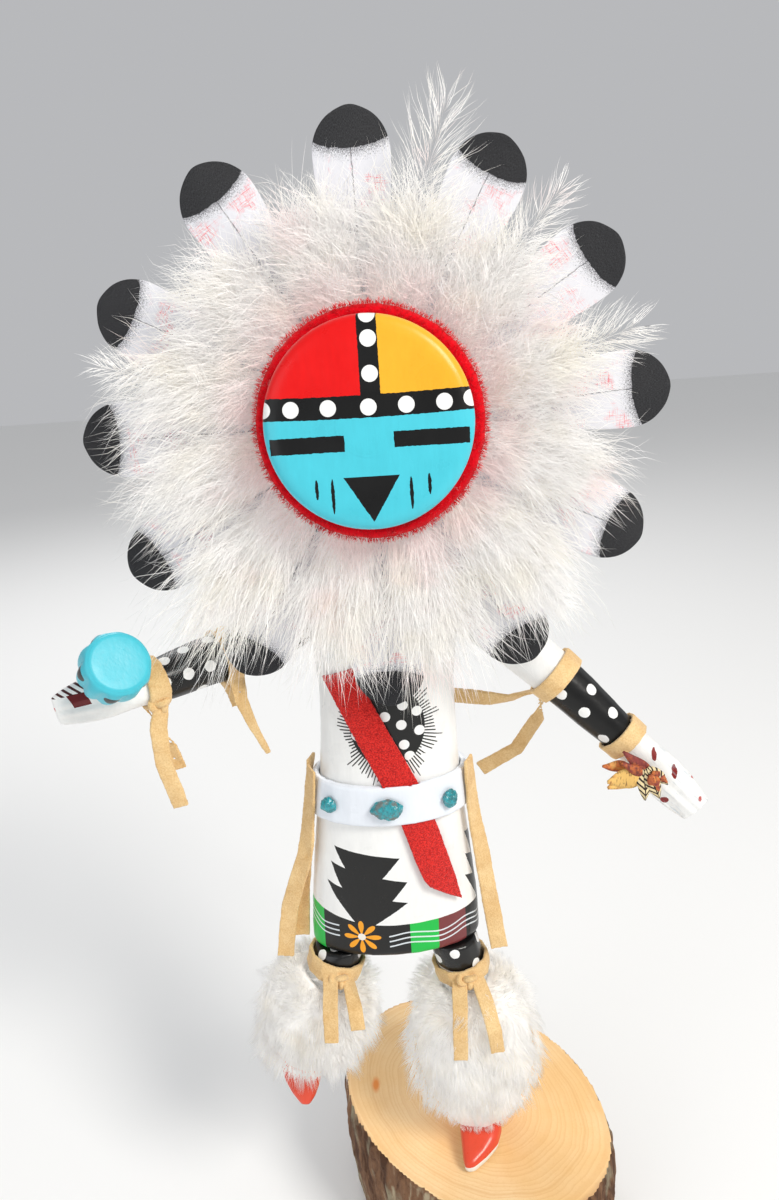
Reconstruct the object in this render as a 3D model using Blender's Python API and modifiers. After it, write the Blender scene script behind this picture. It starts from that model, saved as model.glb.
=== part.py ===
"""A carved sun-face dancer doll with a feather halo, standing on a slice of log.

World frame: metres, +Z up, the doll faces -Y. The origin is the middle of the slice's flat underside.
The figure is laid out in units of FIGURE_HEIGHT / 311, which are millimetres at its present size,
measured from the point on the slice's top that lies under the body's middle.
Left and right are the doll's own.
"""

import math
import random

import bmesh
import bpy
from mathutils import Matrix, Vector

# Driving dimensions, metres
FIGURE_HEIGHT = 0.311          # slice's top to the top of the painted face
FIGURE_X = -0.023              # where the figure's axis stands on the slice
FIGURE_Y = -0.006
CLEARANCE = 0.0003             # gap between pieces that touch

STAND_LENGTH = 0.122           # long axis of the oval slice
STAND_WIDTH = 0.091            # short axis
STAND_HEIGHT = 0.055
STAND_CHAMFER = 0.0012         # cut edge round the bottom

FACE_RADIUS = 0.029
FACE_THICKNESS = 0.009         # the round face board, front to back
HEAD_DRUM_RADIUS = 0.0235      # the head behind the face board
HEAD_DEPTH = 0.046             # front of the face to the back of the head
RING_TUBE_RADIUS = 0.0038      # red yarn
RING_STAND_OFF = 0.0024        # the down's front to the back of the yarn

FEATHER_COUNT = 12
FEATHER_THICKNESS = 0.0016
FEATHER_WIDTH = 0.0235
FEATHER_CUP = 0.0015           # how far a feather's long edges bend back
HALO_RADIUS = 0.088            # middle of the head to a feather's end

PLUME_REACH = 0.066            # middle of the head to a tuft's end
PLUME_EXTRA_BELOW = 0.009      # the tufts below the face are longer
PLUME_THICKNESS = 0.0085
PLUME_ROOT_GAP = 0.003         # side of the head to a tuft's root

BELT_HEIGHT = 0.0150
BELT_THICKNESS = 0.0024
SASH_WIDTH = 0.0110
SASH_THICKNESS = 0.0011
SASH_LIFT = 0.0013             # how far its free end stands off the kilt
STRAP_WIDTH = 0.0062
STRAP_THICKNESS = 0.0011
BAND_WIDTH = 0.0060            # suede bands round arms and knees
BAND_THICKNESS = 0.0013
TIE_WIDTH = 0.0057             # the ends that hang from a band's knot

FOOT_LENGTH = 0.034
FOOT_WIDTH = 0.0165
FOOT_HEIGHT = 0.0140

RATTLE_RADIUS = 0.0102
RATTLE_LENGTH = 0.0205         # flat end to the neck
RATTLE_HANDLE_RADIUS = 0.0022

# The figure's own unit, and the middle of the figure on the slice's top
UNIT = FIGURE_HEIGHT / 311
FIGURE_OFFSET = Vector((FIGURE_X, FIGURE_Y, STAND_HEIGHT))
STAND_TURN = math.radians(-50)

HEAD_TILT = math.radians(8)
HEAD_TURN = math.radians(-2.5)
FRONT = Vector((0, -1, 0))
HALO_CENTRE = (1.8, -8.0, 279.4)
# Each feather was fixed by hand and leans a little from its even place, degrees, clockwise from the top
FEATHER_LEANS = (1, 1, 3, 4, 4, 1, 0, -2, -2, 0, 3, 2)

# Places along the face's axis, in front of the halo's plane: everything behind the face follows them
RING_PLACE = FEATHER_THICKNESS + PLUME_THICKNESS + RING_STAND_OFF + RING_TUBE_RADIUS
FACE_BACK = RING_PLACE + RING_TUBE_RADIUS + CLEARANCE
FACE_FRONT = FACE_BACK + FACE_THICKNESS
RING_RADIUS = FACE_RADIUS + RING_TUBE_RADIUS * 0.2

TORSO_SIDES = 24
RING_SIDES = 28
STAND_SIDES = 32
HEAD_SIDES = 28
RATTLE_SIDES = 18
ARM_STEPS = 2                  # rings for each stretch between two stations
LEG_STEPS = 1
LEG_SIDES = 12
BOOT_SIDES = 16
# Angles round an arm, degrees: closer together where the finger grooves run
ARM_ANGLES = (0, 32, 60, 76, 90, 104, 120, 148, 180, 212, 240, 256, 270, 284, 300, 328)
SHARP_ANGLE = math.radians(40)

KILT_HEM = 90.0
BELT_TOP = 160.5

# Stations of the body: height, middle x, middle y, half width, half depth
TORSO_STATIONS = (
    (KILT_HEM, -3.0, -0.5, 31.4, 14.9),
    (104, -2.6, -0.5, 30.7, 15.0),
    (125, -2.3, -0.5, 28.6, 15.0),
    (145, -1.7, -0.5, 26.2, 14.6),
    (160, -1.0, -0.3, 24.6, 14.2),
    (176, -0.4, 0.0, 23.5, 13.8),
    (192, 0.0, 0.4, 23.0, 13.6),
    (207, 0.4, 1.0, 24.4, 13.6),
    (219, 0.7, 1.8, 26.2, 13.0),
    (229, 1.0, 2.6, 26.0, 11.6),
    (237, 1.2, 3.2, 20.5, 9.8),
    (243, 1.4, 3.6, 12.6, 8.6),
    (250, 1.5, 3.8, 10.2, 8.4),
    (262, 1.6, 4.0, 9.8, 8.2),
)

# Stations of a limb: x, y, z, half width, half thickness, depth of the finger grooves
LEFT_ARM_STATIONS = (
    (18, 4, 223, 9.0, 9.0, 0),
    (36, -1, 210, 8.9, 8.9, 0),
    (56, -8, 193, 8.1, 8.1, 0),
    (68, -11.5, 181, 7.3, 7.3, 0),
    (77, -14, 172, 6.3, 6.3, 0),
    (83, -16, 165.5, 6.6, 4.8, 0),
    (89, -18.5, 159, 7.6, 4.2, 0.12),
    (95, -20.6, 152.5, 6.9, 3.3, 0.42),
    (100, -22.0, 147, 5.4, 2.2, 0.45),
)
RIGHT_ARM_STATIONS = (
    (-17, 6, 222, 9.0, 9.0, 0),
    (-31, 2.5, 213.6, 8.9, 8.9, 0),
    (-46, -1.4, 207.6, 8.3, 8.3, 0),
    (-58, -9.0, 207, 8.1, 8.1, 0),
    (-69, -18, 206.2, 7.3, 7.3, 0),
    (-77, -24.5, 206.2, 6.3, 5.6, 0),
    (-84, -28.6, 206.4, 7.6, 4.6, 0.10),
    (-91.5, -33, 206.4, 7.0, 3.6, 0.40),
    (-98, -36.5, 205.6, 4.8, 2.2, 0.45),
)
LEFT_LEG_STATIONS = (
    (17.5, -3.5, KILT_HEM, 9.6, 9.6, 0),
    (20.6, -4.5, 77, 9.0, 9.0, 0),
    (22.0, -4.5, 60, 8.4, 8.6, 0),
    (23.2, -3.5, 40, 8.0, 8.4, 0),
    (24.0, -3.0, 22, 6.6, 7.4, 0),
    (24.2, -3.0, 6.5, 6.2, 7.0, 0),
)
RIGHT_LEG_STATIONS = (
    (-24.0, -3.0, KILT_HEM, 9.6, 9.6, 0),
    (-26.2, -5.0, 82.5, 9.1, 9.1, 0),
    (-32.8, -3.2, 66, 8.4, 8.6, 0),
    (-38.4, 3.0, 50, 7.6, 8.0, 0),
    (-40.6, 6.4, 42, 6.4, 7.0, 0),
)
# Fur sleeves: the same columns, with outer sizes
LEFT_BOOT_STATIONS = (
    (21.3, -5.0, 71.8, 12.2, 12.2, 0),
    (21.8, -5.5, 66.8, 17.6, 16.0, 0),
    (23.2, -6.0, 52.0, 23.0, 18.8, 0),
    (24.0, -6.5, 34.0, 23.2, 19.2, 0),
    (24.4, -6.5, 20.0, 19.2, 17.4, 0),
    (24.4, -6.5, 9.5, 13.2, 13.8, 0),
)
RIGHT_BOOT_STATIONS = (
    (-28.0, -5.0, 77.6, 12.2, 12.2, 0),
    (-29.8, -4.8, 72.8, 16.4, 15.4, 0),
    (-34.4, -3.2, 64.0, 20.6, 18.6, 0),
    (-37.8, 0.6, 50.5, 20.4, 18.8, 0),
    (-40.0, 3.4, 40.0, 16.6, 16.6, 0),
    (-41.4, 5.0, 33.0, 11.8, 12.4, 0),
)

# Where each foot is: the ankle's point on the sole, pitch of the toe below level, turn to the doll's right
LEFT_FOOT_PLACE = (24.2, -5.5, CLEARANCE / UNIT)
RIGHT_FOOT_PLACE = (-41.8, 8.6, 34.4)
RIGHT_FOOT_PITCH = math.radians(46)
RIGHT_FOOT_TURN = math.radians(-12)
# How far each toe's point lies to one side, as a share of its half width, + to the doll's left
LEFT_TOE_LEAN = -1.0
RIGHT_TOE_LEAN = 0.4

# The sash's middle line on the front of the body: x, z
SASH_LINE = (
    (-15.2, 200.5), (-11.6, 192.0), (-4.9, 176.5), (2.1, 160.4), (6.9, 146.5), (10.8, 131.0), (14.8, 115.6),
)
SASH_SLANT = 5.6               # its lower end is cut on the slant

# Loose side straps: degrees round the waist where each lies on the belt, then its free places below
RIGHT_INNER_STRAP = (170, ((-32.6, -0.6, 132), (-36.4, -0.8, 112), (-38.4, -1.8, 92)))
RIGHT_OUTER_STRAP = (195, ((-33.4, -6.6, 129), (-41.0, -4.8, 107), (-44.6, -5.4, 86)))
LEFT_SIDE_STRAP = (-15, ((29.2, -6.6, 128), (32.0, -7.4, 105), (34.4, -9.0, 86)))
STRAP_RISE = 3.0               # how far a side strap starts above the belt

# Ends that hang from a tie's knot: degrees round the limb, then places along the strip from there
LEFT_KNEE_TIE_ENDS = (
    (100, ((0, 0, 0), (-0.8, -8.6, -6.5), (-1.4, -12.2, -15), (-1.8, -13.0, -24))),
    (62, ((0, 0, 0), (2.8, -9.4, -6.0), (4.6, -13.4, -14), (5.4, -14.4, -22))),
)
RIGHT_KNEE_TIE_ENDS = (
    (100, ((0, 0, 0), (-0.2, -10.4, -5.6), (-0.6, -13.6, -17))),
    (62, ((0, 0, 0), (2.4, -10.4, -4.6), (3.0, -13.4, -11))),
)
LEFT_ARM_TIE_ENDS = (
    (-115, ((0, 0, 0), (0.2, 5.0, -8), (-2.4, 8.0, -19), (-10, 9.4, -31.5), (-23, 10.8, -39.5))),
    (-140, ((0, 0, 0), (-4.0, 5.2, -4.6), (-9.5, 8.0, -7.4), (-17, 9.6, -7.8), (-30, 11.6, -6.4))),
)
RIGHT_ELBOW_TIE_ENDS = (
    (50, ((0, 0, 0), (0.8, -1.6, -7), (3.6, -1.2, -17), (7.2, 0.4, -28))),
    (-35, ((0, 0, 0), (1.0, 0.6, -6), (2.5, 0.4, -13))),
)
RIGHT_WRIST_TIE_ENDS = (
    (50, ((0, 0, 0), (-1.4, -1.6, -8), (-1.8, -1.2, -20), (1.2, 0.2, -37))),
    (-35, ((0, 0, 0), (1.6, 1.4, -9), (4.4, 1.8, -19), (6.2, 1.6, -27))),
)

# Stones on the belt: x of each, half width, half height, how far it stands out
NUGGETS = ((-20.6, 3.3, 2.8, 3.0), (-2.3, 5.8, 3.9, 3.4), (17.0, 3.0, 3.4, 3.0))

RATTLE_NECK = (-84.2, -33.0, 212.6)
RATTLE_AIM = Vector((10.6, -13.0, 10.8)).normalized()
RATTLE_HANDLE_REACH = 15.0     # how far the handle runs back through the hand

BUNDLE_PLACE = (80.0, -22.8, 163.0)
BUNDLE_LEAF = 1.3              # thickness of a dry leaf


def body(x, y, z):
    """A place on the figure, in the figure's units, as a world point in metres."""
    return FIGURE_OFFSET + Vector((x, y, z)) * UNIT


def start_collection(name):
    """Clears the scene and makes the collection that holds the doll's pieces."""
    for old in list(bpy.data.objects):
        bpy.data.objects.remove(old, do_unlink=True)
    collection = bpy.data.collections.new(name)
    bpy.context.scene.collection.children.link(collection)
    return collection


def material(name, colour, roughness, metallic=0.0):
    """A Principled BSDF of one plain colour."""
    made = bpy.data.materials.new(name)
    made.use_nodes = True
    shader = made.node_tree.nodes["Principled BSDF"]
    shader.inputs["Base Color"].default_value = (*colour, 1.0)
    shader.inputs["Roughness"].default_value = roughness
    shader.inputs["Metallic"].default_value = metallic
    return made


def face_outward(bm):
    bmesh.ops.recalc_face_normals(bm, faces=bm.faces)
    if bm.calc_volume(signed=True) < 0:
        bmesh.ops.reverse_faces(bm, faces=bm.faces)


def finish_mesh(bm, name, surface, collection, smooth=True):
    """Turns a bmesh into a named object with one material and outward faces."""
    face_outward(bm)
    mesh = bpy.data.meshes.new(name)
    bm.to_mesh(mesh)
    bm.free()
    made = bpy.data.objects.new(name, mesh)
    collection.objects.link(made)
    mesh.materials.append(surface)
    if smooth:
        mesh.shade_smooth()
        mesh.set_sharp_from_angle(angle=SHARP_ANGLE)
    return made


def loft(rings, closed_loop=False, curved_strip=False):
    """A closed bmesh through rings of equal count: capped at both ends, or joined end to start.

    A curved strip's rings run along its inner skin and back along its outer one, so its caps are quads.
    """
    bm = bmesh.new()
    rows = [[bm.verts.new(point) for point in ring] for ring in rings]
    pairs = list(zip(rows, rows[1:]))
    if closed_loop:
        pairs.append((rows[-1], rows[0]))
    for lower, upper in pairs:
        count = len(lower)
        for i in range(count):
            bm.faces.new((lower[i], lower[(i + 1) % count], upper[(i + 1) % count], upper[i]))
    for row in () if closed_loop else (rows[0], rows[-1]):
        if not curved_strip:
            bm.faces.new(row)
            continue
        for i in range(len(row) // 2 - 1):
            bm.faces.new((row[i], row[i + 1], row[-i - 2], row[-i - 1]))
    return bm


def blend_stations(stations, steps):
    """Catmull-Rom rows through the given rows of numbers."""
    rows = []
    last = len(stations) - 1
    for i in range(last):
        before = stations[max(i - 1, 0)]
        here, there = stations[i], stations[i + 1]
        after = stations[min(i + 2, last)]
        for step in range(steps):
            t = step / steps
            rows.append(tuple(
                0.5 * (2 * b + (c - a) * t + (2 * a - 5 * b + 4 * c - d) * t * t
                       + (3 * b - a - 3 * c + d) * t ** 3)
                for a, b, c, d in zip(before, here, there, after)
            ))
    rows.append(tuple(stations[last]))
    return rows


def torso_section(z):
    """Middle x, middle y, half width and half depth of the body at height z, in the figure's units."""
    rows = TORSO_STATIONS
    for lower, upper in zip(rows, rows[1:]):
        if z <= upper[0]:
            share = max(0.0, (z - lower[0]) / (upper[0] - lower[0]))
            return tuple(a + (b - a) * share for a, b in zip(lower[1:], upper[1:]))
    return rows[-1][1:]


def torso_ring(z, extra=0.0, count=TORSO_SIDES):
    """One ring of the body's skin at height z, moved out by extra metres."""
    middle_x, middle_y, half_width, half_depth = torso_section(z)
    grow = extra / UNIT
    ring = []
    for i in range(count):
        angle = 2 * math.pi * i / count
        ring.append(body(
            middle_x + (half_width + grow) * math.cos(angle),
            middle_y + (half_depth + grow) * math.sin(angle),
            z,
        ))
    return ring


def torso_rings(extra=0.0):
    """The body's rings from the hem to the neck."""
    return [torso_ring(row[0], extra) for row in TORSO_STATIONS]


def front_point(x, z, out):
    """The point on the front of the body at x and z, moved straight out of the skin by out metres."""
    middle_x, middle_y, half_width, half_depth = torso_section(z)
    across = max(-0.97, min(0.97, (x - middle_x) / half_width))
    depth = math.sqrt(1 - across * across)
    normal = Vector((across / half_width, -depth / half_depth, 0)).normalized()
    skin = body(middle_x + half_width * across, middle_y - half_depth * depth, z)
    return skin + normal * out


def limb_axes(tangent):
    """Two directions across a limb: the one that lies in its broad plane, and the one nearest the front."""
    side = (FRONT - tangent * FRONT.dot(tangent)).cross(tangent).normalized()
    return side, tangent.cross(side).normalized()


def limb_ring(row, tangent, extra, angles):
    """One ring round a limb's station: an ellipse across the tangent, with finger grooves where asked."""
    x, y, z, half_width, half_thickness, groove = row
    centre = body(x, y, z)
    side, front = limb_axes(tangent)
    ring = []
    for degrees in angles:
        angle = math.radians(degrees)
        across = math.cos(angle)
        dent = max(math.cos(4 * math.pi * across), 0.0) if abs(across) < 0.7 else 0.0
        thickness = half_thickness * (1 - groove * dent) * UNIT + extra
        sideways = side * across * (half_width * UNIT + extra)
        ring.append(centre + sideways + front * math.sin(angle) * thickness)
    return ring


def even_angles(count):
    return tuple(360 * i / count for i in range(count))


def limb_rows(stations, steps):
    """The smooth rows of a limb, each with its tangent."""
    rows = blend_stations(stations, steps)
    points = [Vector(row[:3]) for row in rows]
    ahead = points[1:] + points[-1:]
    behind = points[:1] + points[:-1]
    return rows, [(there - here).normalized() for here, there in zip(behind, ahead)]


def limb_rings(stations, steps, extra, angles):
    rows, tangents = limb_rows(stations, steps)
    return [limb_ring(row, tangent, extra, angles) for row, tangent in zip(rows, tangents)]


def ring_between(rings, spot):
    """The ring at a fractional place in a list of rings, on the flat faces between two of them."""
    index = min(int(spot), len(rings) - 2)
    share = spot - index
    return [low.lerp(high, share) for low, high in zip(rings[index], rings[index + 1])]


def level_end(rings, height):
    """Sets the first ring of a limb flat at one height, where it meets a flat face."""
    rings[0] = [Vector((point.x, point.y, height)) for point in rings[0]]
    return rings


def apply_boolean(target, cutter, operation):
    """Joins or cuts with the exact solver and keeps only the target."""
    modifier = target.modifiers.new(operation.title(), "BOOLEAN")
    modifier.operation = operation
    modifier.solver = "EXACT"
    modifier.object = cutter
    graph = bpy.context.evaluated_depsgraph_get()
    mesh = bpy.data.meshes.new_from_object(target.evaluated_get(graph))
    target.modifiers.clear()
    old = target.data
    target.data = mesh
    mesh.name = target.name
    bpy.data.meshes.remove(old)
    bpy.data.objects.remove(cutter, do_unlink=True)
    return target


def turned(name, profile, surface, collection, steps):
    """A solid of revolution: profile is (radius, height) from top to bottom, down its outer side."""
    bm = bmesh.new()
    verts = [bm.verts.new((radius, 0, height)) for radius, height in profile]
    for first, second in zip(verts, verts[1:]):
        bm.edges.new((first, second))
    mesh = bpy.data.meshes.new(name)
    bm.to_mesh(mesh)
    bm.free()
    mesh.materials.append(surface)
    made = bpy.data.objects.new(name, mesh)
    collection.objects.link(made)
    screw = made.modifiers.new("Turn", "SCREW")
    screw.axis = "Z"
    screw.steps = steps
    screw.render_steps = steps
    screw.use_merge_vertices = True
    screw.merge_threshold = 0.00001
    screw.use_smooth_shade = True
    return made


def place(obj, matrix):
    obj.matrix_world = matrix
    bpy.context.view_layer.update()
    return obj


def head_matrix():
    """The head's own frame: origin in the halo's middle, -Y out of the face, +Z up the face."""
    return (
        Matrix.Translation(body(*HALO_CENTRE))
        @ Matrix.Rotation(HEAD_TURN, 4, "Z")
        @ Matrix.Rotation(-HEAD_TILT, 4, "X")
    )


def head_profile(extra=0.0):
    """The head's outline from the middle of the face to the back, as (radius, height) along its axis."""
    edge = FACE_THICKNESS / 2
    back = FACE_FRONT - HEAD_DEPTH
    profile = [(0.0, FACE_FRONT + extra)]
    # A low dome, then the rounded edge of the face board
    dome_radius = FACE_RADIUS - edge
    for share in (0.35, 0.7):
        profile.append((dome_radius * share, FACE_FRONT - edge * 0.35 * share ** 2 + extra))
    for step in range(4):
        angle = math.radians(70 - 50 * step)
        profile.append((
            dome_radius + (edge + extra) * math.cos(angle),
            FACE_BACK + edge + (edge * 0.82 + extra) * math.sin(angle),
        ))
    profile.append((HEAD_DRUM_RADIUS + extra, FACE_BACK - edge * 0.2 - extra))
    crown = HEAD_DRUM_RADIUS * 0.62
    for step in range(4):
        angle = math.radians(90 * step / 4)
        profile.append((
            (HEAD_DRUM_RADIUS + extra) * math.cos(angle) ** 0.8,
            back + crown - (crown + extra) * math.sin(angle),
        ))
    profile.append((0.0, back - extra))
    return profile


def face_axis(matrix):
    """Turns a shape made along +Z to look out of the face, along the head's -Y."""
    return matrix @ Matrix.Rotation(math.radians(90), 4, "X")


def make_stand(surface, collection):
    """The slice of log: an oval that bulges and narrows a little, with a rough bark edge."""
    generator = random.Random(7)
    waves = [(generator.uniform(0, 2 * math.pi), number) for number in (3, 5, 8, 13)]
    levels = (
        (0.0, 0.955, STAND_CHAMFER),
        (STAND_CHAMFER, 0.965, 0.0),
        (STAND_HEIGHT * 0.35, 1.0, 0.0),
        (STAND_HEIGHT * 0.72, 1.03, 0.0),
        (STAND_HEIGHT * 0.95, 1.012, 0.0),
        (STAND_HEIGHT, 1.0, 0.0),
    )
    count = STAND_SIDES
    rings = []
    for height, share, inset in levels:
        ring = []
        for i in range(count):
            angle = 2 * math.pi * i / count
            rough = sum(math.sin(number * angle + phase) / number for phase, number in waves)
            grow = share * (1 + 0.014 * rough)
            point = Vector((
                (STAND_LENGTH / 2 * grow - inset) * math.cos(angle),
                (STAND_WIDTH / 2 * grow - inset) * math.sin(angle),
                height,
            ))
            ring.append(Matrix.Rotation(STAND_TURN, 3, "Z") @ point)
        rings.append(ring)
    return finish_mesh(loft(rings), "wood_stand", surface, collection)


def make_torso(surface, collection):
    """Kilt, chest, shoulders and neck in one carved block, cut under the head."""
    torso = finish_mesh(loft(torso_rings()), "torso_and_kilt", surface, collection)
    seat = turned("head_seat", head_profile(CLEARANCE), surface, collection, HEAD_SIDES)
    place(seat, face_axis(head_matrix()))
    return apply_boolean(torso, seat, "DIFFERENCE")


def make_head(surface, collection):
    head = turned("head", head_profile(), surface, collection, HEAD_SIDES)
    return place(head, face_axis(head_matrix()))


def make_ring(surface, collection):
    """The red yarn ring behind the rim of the face."""
    bpy.ops.mesh.primitive_torus_add(
        major_radius=RING_RADIUS, minor_radius=RING_TUBE_RADIUS, major_segments=RING_SIDES, minor_segments=6)
    ring = bpy.context.object
    ring.name = "red_yarn_ring"
    ring.data.name = ring.name
    ring.data.materials.append(surface)
    ring.data.shade_smooth()
    for owner in list(ring.users_collection):
        owner.objects.unlink(ring)
    collection.objects.link(ring)
    return place(ring, face_axis(head_matrix()) @ Matrix.Translation((0, 0, RING_PLACE)))


def feather_half_width(share):
    """Half width of a feather at a share of its length: narrow at the root, round at the end."""
    root = 0.34
    body_width = root + (1 - root) * min(1.0, share / 0.78) ** 0.9
    round_start = 0.80
    if share > round_start:
        past = (share - round_start) / (1 - round_start)
        body_width *= math.sqrt(max(0.0, 1 - past ** 2) * 0.985 + 0.015)
    return FEATHER_WIDTH / 2 * body_width


def feather_mesh(name):
    """An open sheet for one feather, root to end along +Z, its long edges bent back."""
    root = HEAD_DRUM_RADIUS + CLEARANCE
    length = HALO_RADIUS - root
    shares = (0, 0.45, 0.78, 0.87, 0.93, 0.975, 1.0)
    columns = (-1, 0, 1)
    bm = bmesh.new()
    rows = []
    for share in shares:
        half = feather_half_width(share)
        rows.append([
            bm.verts.new((half * column, FEATHER_CUP * (half * column / (FEATHER_WIDTH / 2)) ** 2,
                          root + length * share))
            for column in columns
        ])
    for lower, upper in zip(rows, rows[1:]):
        for i in range(len(columns) - 1):
            bm.faces.new((lower[i], lower[i + 1], upper[i + 1], upper[i]))
    mesh = bpy.data.meshes.new(name)
    bm.to_mesh(mesh)
    bm.free()
    mesh.shade_smooth()
    return mesh


def make_feathers(surface, collection):
    """The twelve feathers of the halo, clockwise from the top as the viewer sees them."""
    mesh = feather_mesh("halo_feather")
    mesh.materials.append(surface)
    for i in range(FEATHER_COUNT):
        lean = math.radians(FEATHER_LEANS[i % len(FEATHER_LEANS)])
        angle = 2 * math.pi * i / FEATHER_COUNT - lean
        feather = bpy.data.objects.new(f"halo_feather_{i + 1:02d}", mesh)
        collection.objects.link(feather)
        sheet = feather.modifiers.new("Thickness", "SOLIDIFY")
        sheet.thickness = FEATHER_THICKNESS
        sheet.offset = 0
        place(feather, head_matrix() @ Matrix.Rotation(angle, 4, "Y"))


def plume_mesh(name, reach):
    """A flat soft tuft from under the yarn ring outwards, narrow enough to clear its neighbours."""
    root = HEAD_DRUM_RADIUS + PLUME_ROOT_GAP
    slot = math.tan(math.pi / FEATHER_COUNT)
    middle = FEATHER_THICKNESS + PLUME_THICKNESS / 2 + CLEARANCE
    shares = (0, 0.38, 0.72, 0.92, 0.99)
    rings = []
    for share in shares:
        radius = root + (reach - root) * share
        taper = math.sqrt(max(0.0, 1 - share ** 6))
        half_width = (radius * slot - 3 * CLEARANCE) * taper * 0.97
        half_depth = PLUME_THICKNESS / 2 * (0.72 + 0.28 * math.sin(math.pi * share)) * max(taper, 0.35)
        if radius < RING_RADIUS + RING_TUBE_RADIUS:
            half_depth = min(half_depth, PLUME_THICKNESS / 2 - CLEARANCE)
        ring = []
        for i in range(8):
            angle = 2 * math.pi * i / 8
            depth = -middle + half_depth * math.sin(angle)
            ring.append(Vector((half_width * math.cos(angle), depth, radius)))
        rings.append(ring)
    bm = loft(rings)
    face_outward(bm)
    mesh = bpy.data.meshes.new(name)
    bm.to_mesh(mesh)
    bm.free()
    mesh.shade_smooth()
    return mesh


def make_plumes(surface, collection):
    """Twelve tufts of down, each between two feathers and in front of them, longer below the face."""
    for i in range(FEATHER_COUNT):
        angle = 2 * math.pi * (i + 0.5) / FEATHER_COUNT
        below = max(0.0, -math.cos(angle))
        mesh = plume_mesh(f"down_plume_{i + 1:02d}", PLUME_REACH + PLUME_EXTRA_BELOW * below)
        mesh.materials.append(surface)
        plume = bpy.data.objects.new(mesh.name, mesh)
        collection.objects.link(plume)
        place(plume, head_matrix() @ Matrix.Rotation(angle, 4, "Y"))


def torso_cutter(surface, collection):
    """The body grown by the clearance, to cut what is fixed to it."""
    return finish_mesh(loft(torso_rings(CLEARANCE)), "torso_clearance", surface, collection)


def make_arm(name, stations, surface, collection):
    """A carved arm with its hand, cut to sit against the shoulder."""
    arm = finish_mesh(loft(limb_rings(stations, ARM_STEPS, 0.0, ARM_ANGLES)), name, surface, collection)
    return apply_boolean(arm, torso_cutter(surface, collection), "DIFFERENCE")


def foot_rings(toe_lean, extra=0.0):
    """A pointed moccasin along -Y with its sole at z = 0 and the ankle's middle over the origin."""
    rows = (
        (0.30, 0.62, 0.62, 0), (0.24, 0.86, 0.80, 0), (0.08, 0.94, 1.0, 0), (-0.12, 0.95, 1.0, 0),
        (-0.32, 1.0, 0.78, 0), (-0.48, 0.86, 0.60, 0.14), (-0.61, 0.58, 0.47, 0.42), (-0.72, 0.20, 0.34, 0.72),
    )
    rings = []
    for along, wide, high, lean in rows:
        middle = FOOT_WIDTH / 2 * lean * toe_lean
        half = FOOT_WIDTH / 2 * wide + extra
        height = FOOT_HEIGHT * high + extra
        stretch = extra if along in (rows[0][0], rows[-1][0]) else 0.0
        y = FOOT_LENGTH * along + math.copysign(stretch, along)
        ring = []
        for i in range(12):
            angle = 2 * math.pi * i / 12
            across = math.copysign(abs(math.cos(angle)) ** 0.7, math.cos(angle))
            up = 0.5 + 0.5 * math.copysign(abs(math.sin(angle)) ** 0.6, math.sin(angle))
            ring.append(Vector((middle + half * across, y, -extra + (height + extra) * up)))
        rings.append(ring)
    return rings


def leg_solid(name, stations, foot_matrix, toe_lean, extra, surface, collection):
    """A leg joined to its moccasin, grown by extra metres, its top level with the kilt's hem."""
    rings = limb_rings(stations, LEG_STEPS, extra, even_angles(LEG_SIDES))
    gap = CLEARANCE if extra == 0 else 0.0
    rings = level_end(rings, body(0, 0, KILT_HEM).z - gap)
    down = (Vector(stations[-1][:3]) - Vector(stations[-2][:3])).normalized()
    rings[-1] = [point + down * extra for point in rings[-1]]
    leg = finish_mesh(loft(rings), name, surface, collection)
    foot = finish_mesh(loft(foot_rings(toe_lean, extra)), name + "_foot", surface, collection)
    place(foot, foot_matrix)
    return apply_boolean(leg, foot, "UNION")


def left_foot_matrix():
    return Matrix.Translation(body(*LEFT_FOOT_PLACE))


def right_foot_matrix():
    return (
        Matrix.Translation(body(*RIGHT_FOOT_PLACE))
        @ Matrix.Rotation(RIGHT_FOOT_TURN, 4, "Z")
        @ Matrix.Rotation(RIGHT_FOOT_PITCH, 4, "X")
    )


def make_boot(name, stations, leg_cutter, surface, collection):
    """A sleeve of fur round the shin, cut by the leg and foot that pass through it."""
    rings = limb_rings(stations, LEG_STEPS, 0.0, even_angles(BOOT_SIDES))
    boot = finish_mesh(loft(rings), name, surface, collection)
    return apply_boolean(boot, leg_cutter, "DIFFERENCE")


def band_on_torso(top, height, inner, outer):
    """Rings of a closed band round the body between two heights, joined end to start."""
    low = top - height / UNIT
    edge = (outer - inner) * 0.25
    levels = ((top, inner), (top, outer - edge), (top - edge / UNIT, outer), (low + edge / UNIT, outer),
              (low, outer - edge), (low, inner))
    return [torso_ring(z, out) for z, out in levels]


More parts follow.
